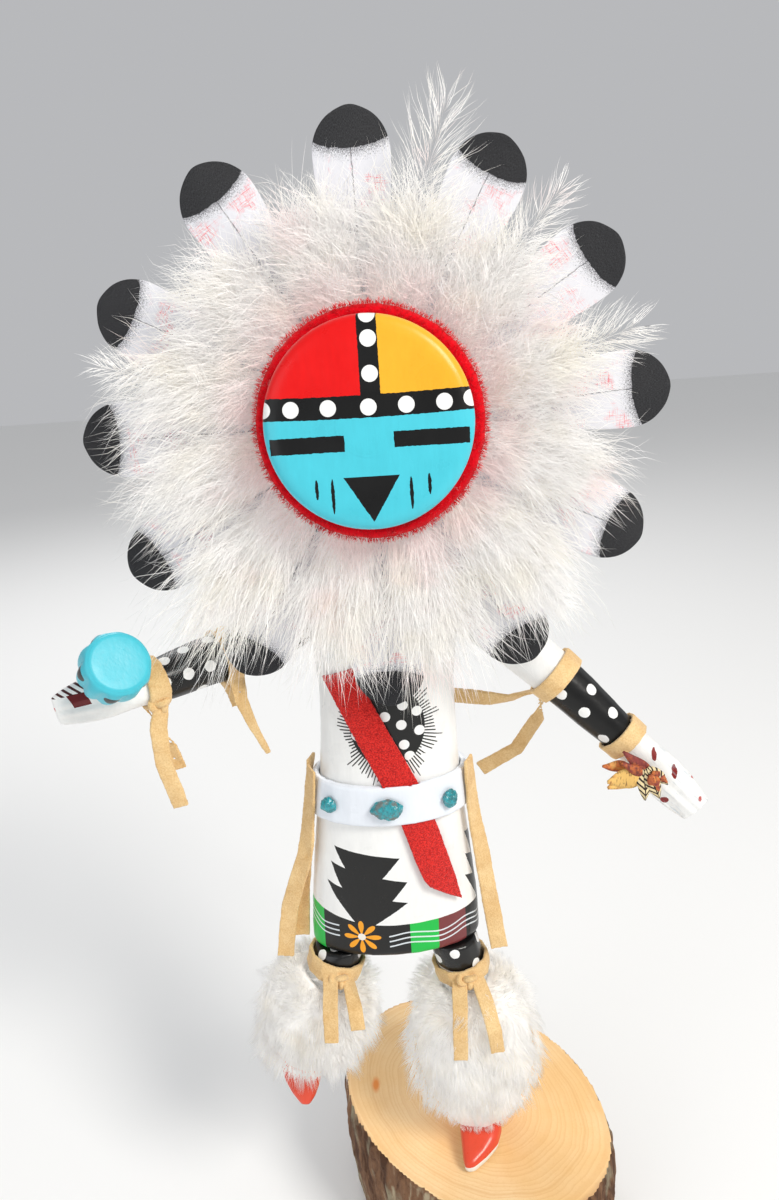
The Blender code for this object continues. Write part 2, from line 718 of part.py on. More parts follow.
def sash_rings(inner, outer, side=0.0):
    """Sections down the sash: it lies on the chest and hangs clear of the kilt, its end cut on the slant."""
    line = blend_stations(SASH_LINE, 2)
    lift_start = BELT_TOP - BELT_HEIGHT / UNIT
    half = SASH_WIDTH / 2 / UNIT + side / UNIT
    columns = (-1, -0.5, 0, 0.5, 1)
    rings = []
    for i, (x, z) in enumerate(line):
        ahead = line[min(i + 1, len(line) - 1)]
        behind = line[max(i - 1, 0)]
        way = Vector((ahead[0] - behind[0], ahead[1] - behind[1])).normalized()
        across = Vector((-way.y, way.x))
        slant = SASH_SLANT * (i / (len(line) - 1)) ** 12
        lift = SASH_LIFT * max(0.0, (lift_start - z) / (lift_start - line[-1][1]))
        skins = {}
        for out in (inner, outer):
            skins[out] = [
                front_point(x + across.x * half * c, z + across.y * half * c - slant * c, out + lift)
                for c in columns
            ]
        rings.append(skins[inner] + skins[outer][::-1])
    return rings


def make_sash(surface, collection):
    rings = sash_rings(CLEARANCE, CLEARANCE + SASH_THICKNESS)
    return finish_mesh(loft(rings, curved_strip=True), "red_sash", surface, collection)


def make_belt(surface, collection):
    """A white band with rounded edges, hollowed behind where the sash passes under it."""
    rings = band_on_torso(BELT_TOP, BELT_HEIGHT, CLEARANCE, CLEARANCE + BELT_THICKNESS)
    belt = finish_mesh(loft(rings, closed_loop=True), "belt", surface, collection)
    channel = finish_mesh(
        loft(sash_rings(0.0, 2 * CLEARANCE + SASH_THICKNESS, CLEARANCE), curved_strip=True),
        "sash_channel", surface, collection)
    return apply_boolean(belt, channel, "DIFFERENCE")


def make_nugget(index, surface, collection):
    """A rough stone with a flat back, glued to the belt."""
    x, half_width, half_height, stand_out = NUGGETS[index]
    generator = random.Random(20 + index)
    middle = BELT_TOP - BELT_HEIGHT / UNIT / 2
    out = CLEARANCE + BELT_THICKNESS + CLEARANCE
    seat = front_point(x, middle, out)
    normal = (front_point(x, middle, 2 * out) - seat).normalized()
    across = Vector((0, 0, 1)).cross(normal)
    bm = bmesh.new()
    bmesh.ops.create_icosphere(bm, subdivisions=2, radius=1.0)
    for vert in bm.verts:
        vert.co *= 1 + generator.uniform(-0.13, 0.13)
    whole = bm.verts[:] + bm.edges[:] + bm.faces[:]
    cut = bmesh.ops.bisect_plane(bm, geom=whole, plane_co=(0, 0, -0.2), plane_no=(0, 0, 1), clear_inner=True)
    rim = [item for item in cut["geom_cut"] if isinstance(item, bmesh.types.BMEdge)]
    bmesh.ops.contextual_create(bm, geom=rim)
    for vert in bm.verts:
        shape = Vector((vert.co.x * half_width, vert.co.y * half_height, (vert.co.z + 0.2) / 1.2 * stand_out))
        vert.co = seat + (across * shape.x + Vector((0, 0, 1)) * shape.y + normal * shape.z) * UNIT
    return finish_mesh(bm, f"turquoise_nugget_{index + 1}", surface, collection, smooth=False)


def strip_rings(points, width, thickness, first_facing, last_facing, taper=1.0, steps=2):
    """Sections along a flat strip through the given places, its broad side turning between two facings."""
    line = [Vector(row) for row in blend_stations(points, steps)]
    rings = []
    for i, point in enumerate(line):
        share = i / (len(line) - 1)
        tangent = (line[min(i + 1, len(line) - 1)] - line[max(i - 1, 0)]).normalized()
        across = tangent.cross(first_facing.lerp(last_facing, share)).normalized()
        normal = across.cross(tangent).normalized()
        half = width / 2 * (1 + (taper - 1) * share)
        centre = body(*point)
        rings.append([
            centre + across * half + normal * thickness / 2,
            centre - across * half + normal * thickness / 2,
            centre - across * half - normal * thickness / 2,
            centre + across * half - normal * thickness / 2,
        ])
    return rings


def waist_spot(turn, z, out):
    """A place beside the waist, out metres off the skin, in the figure's units, with the way it faces."""
    middle_x, middle_y, half_width, half_depth = torso_section(z)
    angle = math.radians(turn)
    facing = Vector((math.cos(angle) / half_width, math.sin(angle) / half_depth, 0)).normalized()
    skin = Vector((middle_x + half_width * math.cos(angle), middle_y + half_depth * math.sin(angle), z))
    return skin + facing * out / UNIT, facing


def make_side_strap(name, route, surface, collection):
    """A suede strap that lies on the belt's flank and hangs down beside the kilt."""
    turn, places = route
    out = 3 * CLEARANCE + BELT_THICKNESS + STRAP_THICKNESS / 2
    heights = (BELT_TOP + STRAP_RISE, BELT_TOP - BELT_HEIGHT / UNIT - STRAP_RISE / 2)
    spots = [waist_spot(turn, z, out) for z in heights]
    points = [tuple(spot) for spot, facing in spots] + list(places)
    rings = strip_rings(points, STRAP_WIDTH, STRAP_THICKNESS, spots[0][1], FRONT)
    return finish_mesh(loft(rings), name, surface, collection, smooth=False)


def limb_centre(rings, spot):
    ring = ring_between(rings, spot)
    return sum(ring, Vector()) / len(ring)


def place_along(rings, start, distance):
    """The fractional place that lies a distance along a limb from another place."""
    step = 0.02 if distance > 0 else -0.02
    spot = start
    left = abs(distance)
    here = limb_centre(rings, spot)
    while left > 0:
        there = limb_centre(rings, spot + step)
        left -= (there - here).length
        here = there
        spot += step
    return spot


def make_band(name, limb, station, ends, surface, collection, taper=0.5):
    """A suede band round a limb at one of its stations, joined to the ends that hang from its knot."""
    stations, steps, angles = limb
    inner, outer = CLEARANCE, CLEARANCE + BAND_THICKNESS
    skins = [limb_rings(stations, steps, extra, angles) for extra in (inner, outer)]
    middle = station * steps
    start = place_along(skins[0], middle, -BAND_WIDTH / 2)
    end = place_along(skins[0], middle, BAND_WIDTH / 2)
    spots = [start, *range(math.ceil(start), math.floor(end) + 1), end]
    rings = [ring_between(skins[0], spot) for spot in spots]
    rings += [ring_between(skins[1], spot) for spot in reversed(spots)]
    band = finish_mesh(loft(rings, closed_loop=True), name, surface, collection, smooth=False)

    rows, tangents = limb_rows(stations, steps)
    index = int(round(middle))
    side, front = limb_axes(tangents[index])
    cover = (inner + outer) / 2 / UNIT
    for degrees, offsets in ends:
        turn = math.radians(degrees)
        centre = Vector(rows[index][:3])
        half_width, half_thickness = rows[index][3:5]
        across = side * math.cos(turn) * (half_width + cover)
        knot = centre + across + front * math.sin(turn) * (half_thickness + cover)
        points = [tuple(knot + Vector(offset)) for offset in offsets]
        facing = (knot - centre).normalized()
        strip = strip_rings(points, TIE_WIDTH, STRAP_THICKNESS, facing, FRONT, taper, steps=1)
        strip = finish_mesh(loft(strip), name + "_end", surface, collection, smooth=False)
        apply_boolean(band, strip, "UNION")
    return band


def rattle_profile(extra=0.0):
    """The rattle from its flat end to the tip of its handle, as (radius, height) from the neck."""
    rim = RATTLE_RADIUS * 0.16
    neck = RATTLE_RADIUS * 0.46
    reach = RATTLE_HANDLE_REACH * UNIT
    return [
        (0.0, RATTLE_LENGTH + extra),
        (RATTLE_RADIUS - rim, RATTLE_LENGTH + extra),
        (RATTLE_RADIUS - rim * 0.3 + extra, RATTLE_LENGTH - rim * 0.3),
        (RATTLE_RADIUS + extra, RATTLE_LENGTH - rim),
        (RATTLE_RADIUS * 0.98 + extra, RATTLE_LENGTH * 0.62),
        (RATTLE_RADIUS * 0.84 + extra, RATTLE_LENGTH * 0.34),
        (neck + extra, RATTLE_LENGTH * 0.08),
        (RATTLE_HANDLE_RADIUS + extra, -extra),
        (RATTLE_HANDLE_RADIUS + extra, -reach - extra),
        (0.0, -reach - extra),
    ]


def rattle_matrix():
    return Matrix.Translation(body(*RATTLE_NECK)) @ RATTLE_AIM.to_track_quat("Z", "Y").to_matrix().to_4x4()


def make_rattle(surface, collection):
    return place(turned("rattle", rattle_profile(), surface, collection, RATTLE_SIDES), rattle_matrix())


def cut_grip(arm, surface, collection):
    """Opens the right hand for the rattle that it holds."""
    grip = turned("rattle_grip", rattle_profile(CLEARANCE), surface, collection, RATTLE_SIDES)
    place(grip, rattle_matrix())
    return apply_boolean(arm, grip, "DIFFERENCE")


def make_bundle(surface, collection):
    """The dry leaves and the striped fan tied together under the left hand, joined at their stalks."""
    blades = (
        ((0, 0, 0), (-4.5, -1.0, -1.5), (-9.5, -1.5, -4.0), 4.6),
        ((0, 0, 0), (-4.0, -1.2, 1.5), (-8.0, -2.0, 4.5), 3.8),
        ((0, 0, 0), (1.5, -1.6, -4.0), (4.0, -2.6, -9.0), 5.0),
        ((0, 0, 0), (-2.0, -1.4, -4.0), (-5.0, -2.0, -8.5), 4.4),
    )
    bundle = None
    for first, second, third, width in blades:
        points = [tuple(a + b for a, b in zip(BUNDLE_PLACE, spot)) for spot in (first, second, third)]
        rings = strip_rings(points, width * UNIT, BUNDLE_LEAF * UNIT, FRONT, FRONT, 0.35, steps=1)
        blade = finish_mesh(loft(rings), "hand_bundle", surface, collection, smooth=False)
        if bundle is None:
            bundle = blade
        else:
            apply_boolean(bundle, blade, "UNION")
    return bundle


def main():
    collection = start_collection("kachina_doll")
    wood = material("pale_wood", (0.72, 0.50, 0.28), 0.75)
    white = material("white_paint", (0.86, 0.86, 0.84), 0.35)
    turquoise_paint = material("turquoise_paint", (0.12, 0.62, 0.72), 0.35)
    red_yarn = material("red_yarn", (0.66, 0.02, 0.05), 0.95)
    feather_white = material("feather_white_paint", (0.84, 0.84, 0.86), 0.6)
    down = material("white_down", (0.92, 0.91, 0.89), 0.9)
    dotted = material("black_dotted_paint", (0.03, 0.03, 0.035), 0.35)
    red_paint = material("leg_paint", (0.75, 0.12, 0.06), 0.35)
    fur = material("white_fur", (0.88, 0.86, 0.82), 0.95)
    suede = material("tan_suede", (0.70, 0.49, 0.26), 0.9)
    red_suede = material("red_suede", (0.62, 0.05, 0.04), 0.95)
    belt_white = material("white_belt", (0.82, 0.86, 0.90), 0.3)
    stone = material("turquoise_stone", (0.05, 0.45, 0.50), 0.3)
    leaves = material("dry_leaves", (0.42, 0.16, 0.08), 0.8)

    make_stand(wood, collection)
    make_torso(white, collection)
    make_head(turquoise_paint, collection)
    make_ring(red_yarn, collection)
    make_feathers(feather_white, collection)
    make_plumes(down, collection)
    make_arm("left_arm", LEFT_ARM_STATIONS, dotted, collection)
    gripping_arm = make_arm("right_arm", RIGHT_ARM_STATIONS, dotted, collection)
    cut_grip(gripping_arm, dotted, collection)
    make_rattle(turquoise_paint, collection)

    left_shape = (LEFT_LEG_STATIONS, left_foot_matrix(), LEFT_TOE_LEAN)
    right_shape = (RIGHT_LEG_STATIONS, right_foot_matrix(), RIGHT_TOE_LEAN)
    legs = (
        ("left", left_shape, LEFT_BOOT_STATIONS, LEFT_KNEE_TIE_ENDS),
        ("right", right_shape, RIGHT_BOOT_STATIONS, RIGHT_KNEE_TIE_ENDS),
    )
    for side, shape, boot_stations, tie_ends in legs:
        stations = shape[0]
        leg_solid(f"{side}_leg", *shape, 0.0, red_paint, collection)
        cutter = leg_solid(f"{side}_leg_clearance", *shape, CLEARANCE, red_paint, collection)
        make_boot(f"{side}_fur_boot", boot_stations, cutter, fur, collection)
        limb = (stations, LEG_STEPS, even_angles(LEG_SIDES))
        make_band(f"{side}_knee_tie", limb, 1, tie_ends, suede, collection, taper=0.9)

    make_sash(red_suede, collection)
    make_belt(belt_white, collection)
    for index in range(len(NUGGETS)):
        make_nugget(index, stone, collection)

    make_side_strap("right_inner_side_strap", RIGHT_INNER_STRAP, suede, collection)
    make_side_strap("right_outer_side_strap", RIGHT_OUTER_STRAP, suede, collection)
    make_side_strap("left_side_strap", LEFT_SIDE_STRAP, suede, collection)
    left_arm = (LEFT_ARM_STATIONS, ARM_STEPS, ARM_ANGLES)
    right_arm = (RIGHT_ARM_STATIONS, ARM_STEPS, ARM_ANGLES)
    make_band("left_arm_tie", left_arm, 2, LEFT_ARM_TIE_ENDS, suede, collection, taper=1.0)
    make_band("left_wrist_band", left_arm, 4, (), suede, collection)
    make_band("right_elbow_tie", right_arm, 2.5, RIGHT_ELBOW_TIE_ENDS, suede, collection, taper=0.3)
    make_band("right_wrist_tie", right_arm, 4.5, RIGHT_WRIST_TIE_ENDS, suede, collection, taper=0.9)
    make_bundle(leaves, collection)


main()
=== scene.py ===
"""Looks of the carved sun-face dancer doll, laid out as a Blender add-on and run as a script.

Metres, +Z up, the doll faces -Y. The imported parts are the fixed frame, and each finished piece sits at the
origin with its place in its mesh. Left and right are the doll's own.
"""

import math

import bmesh
import bpy
import numpy as np
from bpy.props import FloatProperty, FloatVectorProperty, IntProperty, PointerProperty
from bpy.types import Operator, Panel, PropertyGroup
from mathutils import Matrix, Vector, noise


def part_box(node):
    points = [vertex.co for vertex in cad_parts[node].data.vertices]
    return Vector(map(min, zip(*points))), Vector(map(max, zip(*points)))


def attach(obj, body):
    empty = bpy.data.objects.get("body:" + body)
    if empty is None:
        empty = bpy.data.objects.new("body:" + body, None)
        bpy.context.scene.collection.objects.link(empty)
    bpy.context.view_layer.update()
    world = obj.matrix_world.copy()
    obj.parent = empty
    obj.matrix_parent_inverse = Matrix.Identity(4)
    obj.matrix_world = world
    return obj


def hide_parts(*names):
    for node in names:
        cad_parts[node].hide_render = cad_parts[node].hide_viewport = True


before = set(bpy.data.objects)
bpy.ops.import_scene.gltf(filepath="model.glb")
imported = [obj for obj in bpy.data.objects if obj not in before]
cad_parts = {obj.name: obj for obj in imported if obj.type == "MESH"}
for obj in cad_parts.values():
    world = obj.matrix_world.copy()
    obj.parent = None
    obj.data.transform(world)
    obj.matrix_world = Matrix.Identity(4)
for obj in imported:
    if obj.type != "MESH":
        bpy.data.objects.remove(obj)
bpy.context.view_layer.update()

bl_info = {
    "name": "Sun-Face Dancer Doll",
    "version": (1, 0, 0),
    "blender": (4, 5, 0),
    "location": "View3D > Sidebar > Doll",
    "description": "Dresses the carved dancer doll in paint, down, fur, yarn and suede",
    "category": "Add Mesh",
}

MM = 0.001
PLACE_UNIT = 0.1               # one unit of a piece's place map, in metres
TURN_STEPS = 96                # steps round a turned piece
SWIRL_SEED = 7                 # seed of the noise that bends the hairs

FEATHERS = [f"halo_feather_{i:02d}" for i in range(1, 13)]
PLUMES = [f"down_plume_{i:02d}" for i in range(1, 13)]
NUGGETS = [f"turquoise_nugget_{i}" for i in range(1, 4)]

# Photograph's view: the camera looks down on the doll and leans a little to its side
CAMERA_PLACE = Vector((-0.020, -0.286, 0.372))
CAMERA_PITCH = math.radians(71)
CAMERA_ROLL = math.radians(-4)
CAMERA_LENS = 27.03

# Where the arms' paint changes: a point on the limb and the way towards the fingers
LEFT_SLEEVE_END = (Vector((0.0330, -0.0140, 0.2480)), Vector((0.72, -0.24, -0.66)))
LEFT_WRIST = (Vector((0.0555, -0.0205, 0.2255)), Vector((0.68, -0.20, -0.70)))
RIGHT_WRIST = (Vector((-0.0980, -0.0290, 0.2610)), Vector((-0.76, -0.64, -0.03)))

# Knots of the suede ties: where each sits, the way it faces, its width
KNOTS = {
    "left_knee_tie": ((-0.0015, -0.0212, 0.1325), (-0.1, -1.0, 0.0), 0.0088),
    "right_knee_tie": ((-0.0480, -0.0217, 0.1370), (-0.1, -1.0, 0.1), 0.0082),
    "right_wrist_tie": ((-0.0930, -0.0325, 0.2560), (0.3, -0.8, -0.5), 0.0080),
    "left_arm_tie": ((0.0305, -0.0070, 0.2422), (-0.5, 0.6, -0.6), 0.0075),
}


def metres(name, description, value, least, most):
    """A length setting with its default and its limits."""
    return FloatProperty(name=name, description=description, default=value, min=least, max=most,
                         unit="LENGTH", precision=5)


def whole(name, description, value, least, most):
    """A count setting with its default and its limits."""
    return IntProperty(name=name, description=description, default=value, min=least, max=most)


def colour(name, description, value):
    """A colour setting with its default."""
    return FloatVectorProperty(name=name, description=description, default=value, size=3,
                               min=0.0, max=1.0, subtype="COLOR")


class DollSizes(PropertyGroup):
    """Sizes that change how the doll is dressed, in metres."""

    carving_voxel: metres("Carving Voxel", "Grid that the carved body is rebuilt on", 0.0009, 0.0004, 0.003)
    suede_voxel: metres("Suede Voxel", "Grid that the suede is rebuilt on", 0.00036, 0.0003, 0.001)
    barb_length: metres("Barb Length", "Length of a usual barb of the down", 0.0170, 0.002, 0.03)
    barb_radius: metres("Barb Radius", "Radius of a barb at its root", 0.00010, 0.00003, 0.0005)
    barbs_per_tuft: whole("Barbs per Tuft", "Long barbs of each tuft of down", 900, 100, 6000)
    fluff_per_tuft: whole("Fluff per Tuft", "Short crooked barbs under the long ones", 950, 100, 6000)
    plumes_per_tuft: whole("Plumes per Tuft", "Plumes that a tuft's barbs fan out from", 13, 1, 40)
    fur_length: metres("Fur Length", "Length of the fur on the boots", 0.0108, 0.001, 0.03)
    fur_radius: metres("Fur Radius", "Radius of a hair of the fur at its root", 0.00011, 0.00003, 0.0005)
    fur_hairs: whole("Fur Hairs", "Hairs on each boot", 10000, 100, 18000)
    yarn_fuzz: metres("Yarn Fuzz", "Length of the red yarn's pile", 0.0019, 0.0003, 0.006)
    yarn_hairs: whole("Yarn Hairs", "Hairs of the yarn's pile", 9000, 100, 18000)
    dot_radius: metres("Dot Radius", "White dots on the arms and knees", 0.0019, 0.0005, 0.004)
    dot_spacing: metres("Dot Spacing", "Least distance between two dots", 0.0082, 0.003, 0.02)
    bark_depth: metres("Bark Depth", "How deep the furrows of the bark are", 0.0012, 0.0, 0.004)


class DollColours(PropertyGroup):
    """Colours of the doll's paints and materials."""

    white: colour("White", "White paint of the body, the sleeve and the hands", (0.88, 0.88, 0.86))
    black: colour("Black", "Black paint", (0.005, 0.005, 0.005))
    turquoise: colour("Turquoise", "Turquoise paint of the face and the rattle", (0.070, 0.57, 0.69))
    red: colour("Red", "Red quarter of the face", (0.76, 0.003, 0.003))
    yellow: colour("Yellow", "Yellow quarter of the face", (0.88, 0.44, 0.025))
    moccasin: colour("Moccasin", "Painted moccasins", (0.74, 0.070, 0.030))
    green: colour("Green", "Green blocks of the kilt's hem", (0.004, 0.50, 0.06))
    brown: colour("Brown", "Brown-red block of the kilt's hem", (0.18, 0.032, 0.034))
    orange: colour("Orange", "Flower on the kilt's hem", (0.90, 0.36, 0.010))
    feather: colour("Feather White", "White paint of the halo's feathers", (0.82, 0.82, 0.86))
    down: colour("Down", "Loose white down", (0.96, 0.95, 0.93))
    fur: colour("Fur", "White fur of the boots", (0.95, 0.94, 0.92))
    blush: colour("Blush", "Pink that the red dye left in down and fur", (0.93, 0.55, 0.54))
    yarn: colour("Yarn", "Red yarn ring", (0.86, 0.002, 0.012))
    suede: colour("Suede", "Tan suede straps", (0.88, 0.64, 0.33))
    sash: colour("Sash", "Red suede sash", (0.84, 0.030, 0.022))
    stone: colour("Stone", "Turquoise stones", (0.006, 0.24, 0.28))
    wood: colour("Wood", "Sawn face of the slice", (0.87, 0.56, 0.25))
    bark: colour("Bark", "Bark of the slice", (0.085, 0.040, 0.022))


def sizes():
    return bpy.context.scene.doll_sizes


def colours():
    return bpy.context.scene.doll_colours


# Reading the frame


def node_points(*nodes):
    """The corners of CAD nodes as one array of points."""
    return np.array([tuple(vert.co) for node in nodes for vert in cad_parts[node].data.vertices])


def spread_axes(points):
    """The middle of some points, and their directions of most to least spread."""
    centre = points.mean(axis=0)
    return centre, np.linalg.svd(points - centre, full_matrices=False)[2]


def carried(points, matrix):
    """Rows of points carried through a matrix."""
    rows = np.array(matrix)
    return points @ rows[:3, :3].T + rows[:3, 3]


def head_frame():
    """Origin in the middle of the yarn ring, -Y out of the face, +Z up the face."""
    centre, axes = spread_axes(np.unique(node_points("red_yarn_ring").round(6), axis=0))
    out = Vector(axes[2])
    if out.y > 0:
        out.negate()
    up = (Vector((0, 0, 1)) - out * out.z).normalized()
    side = (-out).cross(up)
    turn = Matrix((side, -out, up)).transposed().to_4x4()
    return Matrix.Translation(Vector(centre)) @ turn


def turning_frame(node):
    """+Z along the axis of a turned node, towards its wider end, with the origin in its middle."""
    points = np.unique(node_points(node).round(6), axis=0)
    centre, axes = spread_axes(points)
    axis = Vector(axes[0])
    along = (points - centre) @ np.array(axis)
    across = np.linalg.norm((points - centre) - np.outer(along, axis), axis=1)
    if (along * across).sum() < 0:
        axis.negate()
    return Matrix.Translation(Vector(centre)) @ axis.to_track_quat("Z", "Y").to_matrix().to_4x4()


HEAD = head_frame()


def node_profile(node, matrix):
    """The outline of a turned node as (radius, height) from its top to its bottom."""
    rows = {}
    for x, y, z in carried(node_points(node), matrix.inverted()):
        rows.setdefault((round(math.hypot(x, y) / MM, 2), round(z / MM, 2)), None)
    middle = sum(height for _, height in rows) / len(rows)
    ordered = sorted(rows, key=lambda row: (-row[1], row[0] if row[1] > middle else -row[0]))
    # A flat end closes on the axis
    if ordered[0][0] > 0.05:
        ordered.insert(0, (0.0, ordered[0][1]))
    if ordered[-1][0] > 0.05:
        ordered.append((0.0, ordered[-1][1]))
    return [(radius * MM, height * MM) for radius, height in ordered]


# Making meshes


def take(*objects):
    """Selects only these objects, in object mode."""
    if bpy.context.mode != "OBJECT":
        bpy.ops.object.mode_set(mode="OBJECT")
    bpy.ops.object.select_all(action="DESELECT")
    for one in objects:
        one.select_set(True)
    bpy.context.view_layer.objects.active = objects[0]
    return objects[0]


def new_object(name, mesh):
    made = bpy.data.objects.new(name, mesh)
    bpy.context.scene.collection.objects.link(made)
    return made


def apply_modifier(piece, kind, **settings):
    """Adds one modifier, sets it up and applies it."""
    modifier = piece.modifiers.new(kind.title(), kind)
    for key, value in settings.items():
        setattr(modifier, key, value)
    take(piece)
    bpy.ops.object.modifier_apply(modifier=modifier.name)
    return piece


def copy_node(node, name):
    """A merged copy of a CAD node, in quads where it was lofted."""
    piece = new_object(name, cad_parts[node].data.copy())
    piece.data.name = name
    piece.data.materials.clear()
    take(piece)
    bpy.ops.mesh.customdata_custom_splitnormals_clear()
    bpy.ops.object.mode_set(mode="EDIT")
    bpy.ops.mesh.select_all(action="SELECT")
    bpy.ops.mesh.remove_doubles(threshold=0.00002)
    bpy.ops.mesh.tris_convert_to_quads(face_threshold=math.radians(25), shape_threshold=math.radians(60))
    bpy.ops.object.mode_set(mode="OBJECT")
    return piece


def carved_copy(node, name, voxel, rounds, keep=1.0):
    """A fine copy of a CAD node with its facets worn smooth, and a share of its triangles kept."""
    piece = copy_node(node, name)
    apply_modifier(piece, "REMESH", mode="VOXEL", voxel_size=voxel, use_smooth_shade=True)
    apply_modifier(piece, "SMOOTH", factor=0.5, iterations=rounds)
    if keep < 1.0:
        apply_modifier(piece, "DECIMATE", ratio=keep)
    return piece


def turned_piece(name, profile, matrix):
    """A profile spun round the frame's axis in fine steps."""
    bpy.ops.mesh.primitive_plane_add(size=0.01, location=(0, 0, 0))
    piece = bpy.context.object
    piece.name = piece.data.name = name
    bm = bmesh.new()
    rim = [bm.verts.new((radius, 0, height)) for radius, height in profile]
    for first, second in zip(rim, rim[1:]):
        bm.edges.new((first, second))
    bm.to_mesh(piece.data)
    bm.free()
    take(piece)
    bpy.ops.object.mode_set(mode="EDIT")
    bpy.ops.mesh.select_all(action="SELECT")
    bpy.ops.mesh.spin(steps=TURN_STEPS, angle=2 * math.pi, center=(0, 0, 0), axis=(0, 0, 1))
    bpy.ops.mesh.select_all(action="SELECT")
    bpy.ops.mesh.remove_doubles(threshold=0.00001)
    bpy.ops.mesh.normals_make_consistent(inside=False)
    bpy.ops.object.mode_set(mode="OBJECT")
    piece.data.transform(matrix)
    bpy.ops.object.shade_smooth_by_angle(angle=math.radians(50))
    return piece


def smooth_profile(profile, steps=4):
    """Catmull-Rom points through a profile, which keeps its ends on the axis."""
    points = [Vector(row) for row in profile]
    last = len(points) - 1
    made = []
    for i in range(last):
        a, b = points[max(i - 1, 0)], points[i]
        c, d = points[i + 1], points[min(i + 2, last)]
        for step in range(steps):
            t = step / steps
            point = 0.5 * (2 * b + (c - a) * t + (2 * a - 5 * b + 4 * c - d) * t * t
                           + (3 * b - a - 3 * c + d) * t ** 3)
            made.append((max(point.x, 0.0), point.y))
    made.append(tuple(points[last]))
    return made


def mesh_arrays(piece):
    """The points and the normals of a piece's mesh, as arrays."""
    count = len(piece.data.vertices)
    points, normals = np.empty(count * 3), np.empty(count * 3)
    piece.data.vertices.foreach_get("co", points)
    piece.data.vertices.foreach_get("normal", normals)
    return points.reshape(-1, 3), normals.reshape(-1, 3)


def set_points(piece, points):
    piece.data.vertices.foreach_set("co", np.asarray(points, np.float32).ravel())
    piece.data.update()


def roughen(piece, depth, size, seed=0.0):
    """Moves each point along its normal by soft noise, size across, up to depth metres."""
    points, normals = mesh_arrays(piece)
    shift = Vector((seed, seed * 1.7, -seed))
    amounts = np.array([noise.fractal(Vector(point) / size + shift, 0.7, 2.1, 3) for point in points])
    set_points(piece, points + normals * (amounts * depth)[:, None])
    return piece


def swirls(points, scale):
    """Soft vector noise at each point. Without a set seed it would change from run to run."""
    noise.seed_set(SWIRL_SEED)
    return np.array([list(noise.noise_vector(Vector(point) * scale)) for point in points])


def store(mesh, name, values):
    """Keeps one number for each corner of a mesh, for its material to read."""
    mesh.attributes.new(name, "FLOAT", "POINT").data.foreach_set("value", np.asarray(values, np.float32))


def unit(rows):
    return rows / (np.linalg.norm(rows, axis=-1, keepdims=True) + 1e-12)


def mesh_from_triangles(name, points, triangles, values):
    """A mesh from arrays of points and triangles, with its faces turned outwards."""
    corners = points[triangles]
    if np.einsum("ij,ij->", corners[:, 0], np.cross(corners[:, 1], corners[:, 2])) < 0:
        triangles = triangles[:, ::-1]
    mesh = bpy.data.meshes.new(name)
    mesh.vertices.add(len(points))
    mesh.vertices.foreach_set("co", np.asarray(points, np.float32).ravel())
    mesh.loops.add(triangles.size)
    mesh.loops.foreach_set("vertex_index", np.asarray(triangles, np.int32).ravel())
    mesh.polygons.add(len(triangles))
    mesh.polygons.foreach_set("loop_start", np.arange(0, triangles.size, 3, dtype=np.int32))
    mesh.update(calc_edges=True)
    for key, row in values.items():
        store(mesh, key, row)
    mesh.shade_smooth()
    return mesh


def hair_arrays(paths, radius, rng):
    """Closed three-sided hairs along paths (hairs, points, 3), and each corner's share of the way."""
    hairs, count, _ = paths.shape
    tangents = unit(np.gradient(paths, axis=1))
    first = unit(np.cross(tangents, rng.normal(size=(hairs, 1, 3))))
    second = np.cross(tangents, first)
    along = np.linspace(0, 1, count)
    thickness = np.asarray(radius)[:, None] * (1 - 0.75 * along ** 1.5)[None, :]
    rings = []
    for side in range(3):
        turn = 2 * math.pi * side / 3
        rings.append(paths + (first * math.cos(turn) + second * math.sin(turn)) * thickness[..., None])
    body = np.stack(rings, axis=2)[:, 1:-1].reshape(hairs, -1, 3)
    points = np.concatenate([paths[:, :1], body, paths[:, -1:]], axis=1)
    last = 1 + 3 * (count - 2)
    faces = []
    for side in range(3):
        after = (side + 1) % 3
        faces += [(0, 1 + after, 1 + side), (last - 3 + side, last - 3 + after, last)]
        for row in range(count - 3):
            low, high = 1 + 3 * row, 4 + 3 * row
            faces += [(low + side, low + after, high + after), (low + side, high + after, high + side)]
    triangles = np.array(faces)[None] + (np.arange(hairs) * points.shape[1])[:, None, None]
    share = np.concatenate([[0.0], np.repeat(along[1:-1], 3), [1.0]])
    return points.reshape(-1, 3), triangles.reshape(-1, 3), np.tile(share, hairs)


def hairy_piece(name, core, groups, rng):
    """One piece of a solid core and groups of hairs: each group's paths, radii and greatest tone."""
    take(core)
    apply_modifier(core, "TRIANGULATE")
    core_points, _ = mesh_arrays(core)
    core_faces = np.empty(len(core.data.polygons) * 3, np.int32)
    core.data.polygons.foreach_get("vertices", core_faces)
    points, triangles = [core_points], [core_faces.reshape(-1, 3)]
    along, tone = [np.zeros(len(core_points))], [np.full(len(core_points), 0.5)]
    for paths, radii, greatest in groups:
        hairs, faces, share = hair_arrays(paths, radii, rng)
        triangles.append(faces + sum(len(rows) for rows in points))
        points.append(hairs)
        along.append(share)
        tone.append(np.repeat(rng.uniform(0.0, greatest, len(paths)), len(hairs) // len(paths)))
    mesh = mesh_from_triangles(name, np.concatenate(points), np.concatenate(triangles),
                               {"along": np.concatenate(along), "tone": np.concatenate(tone)})
    bpy.data.objects.remove(core, do_unlink=True)
    return new_object(name, mesh)


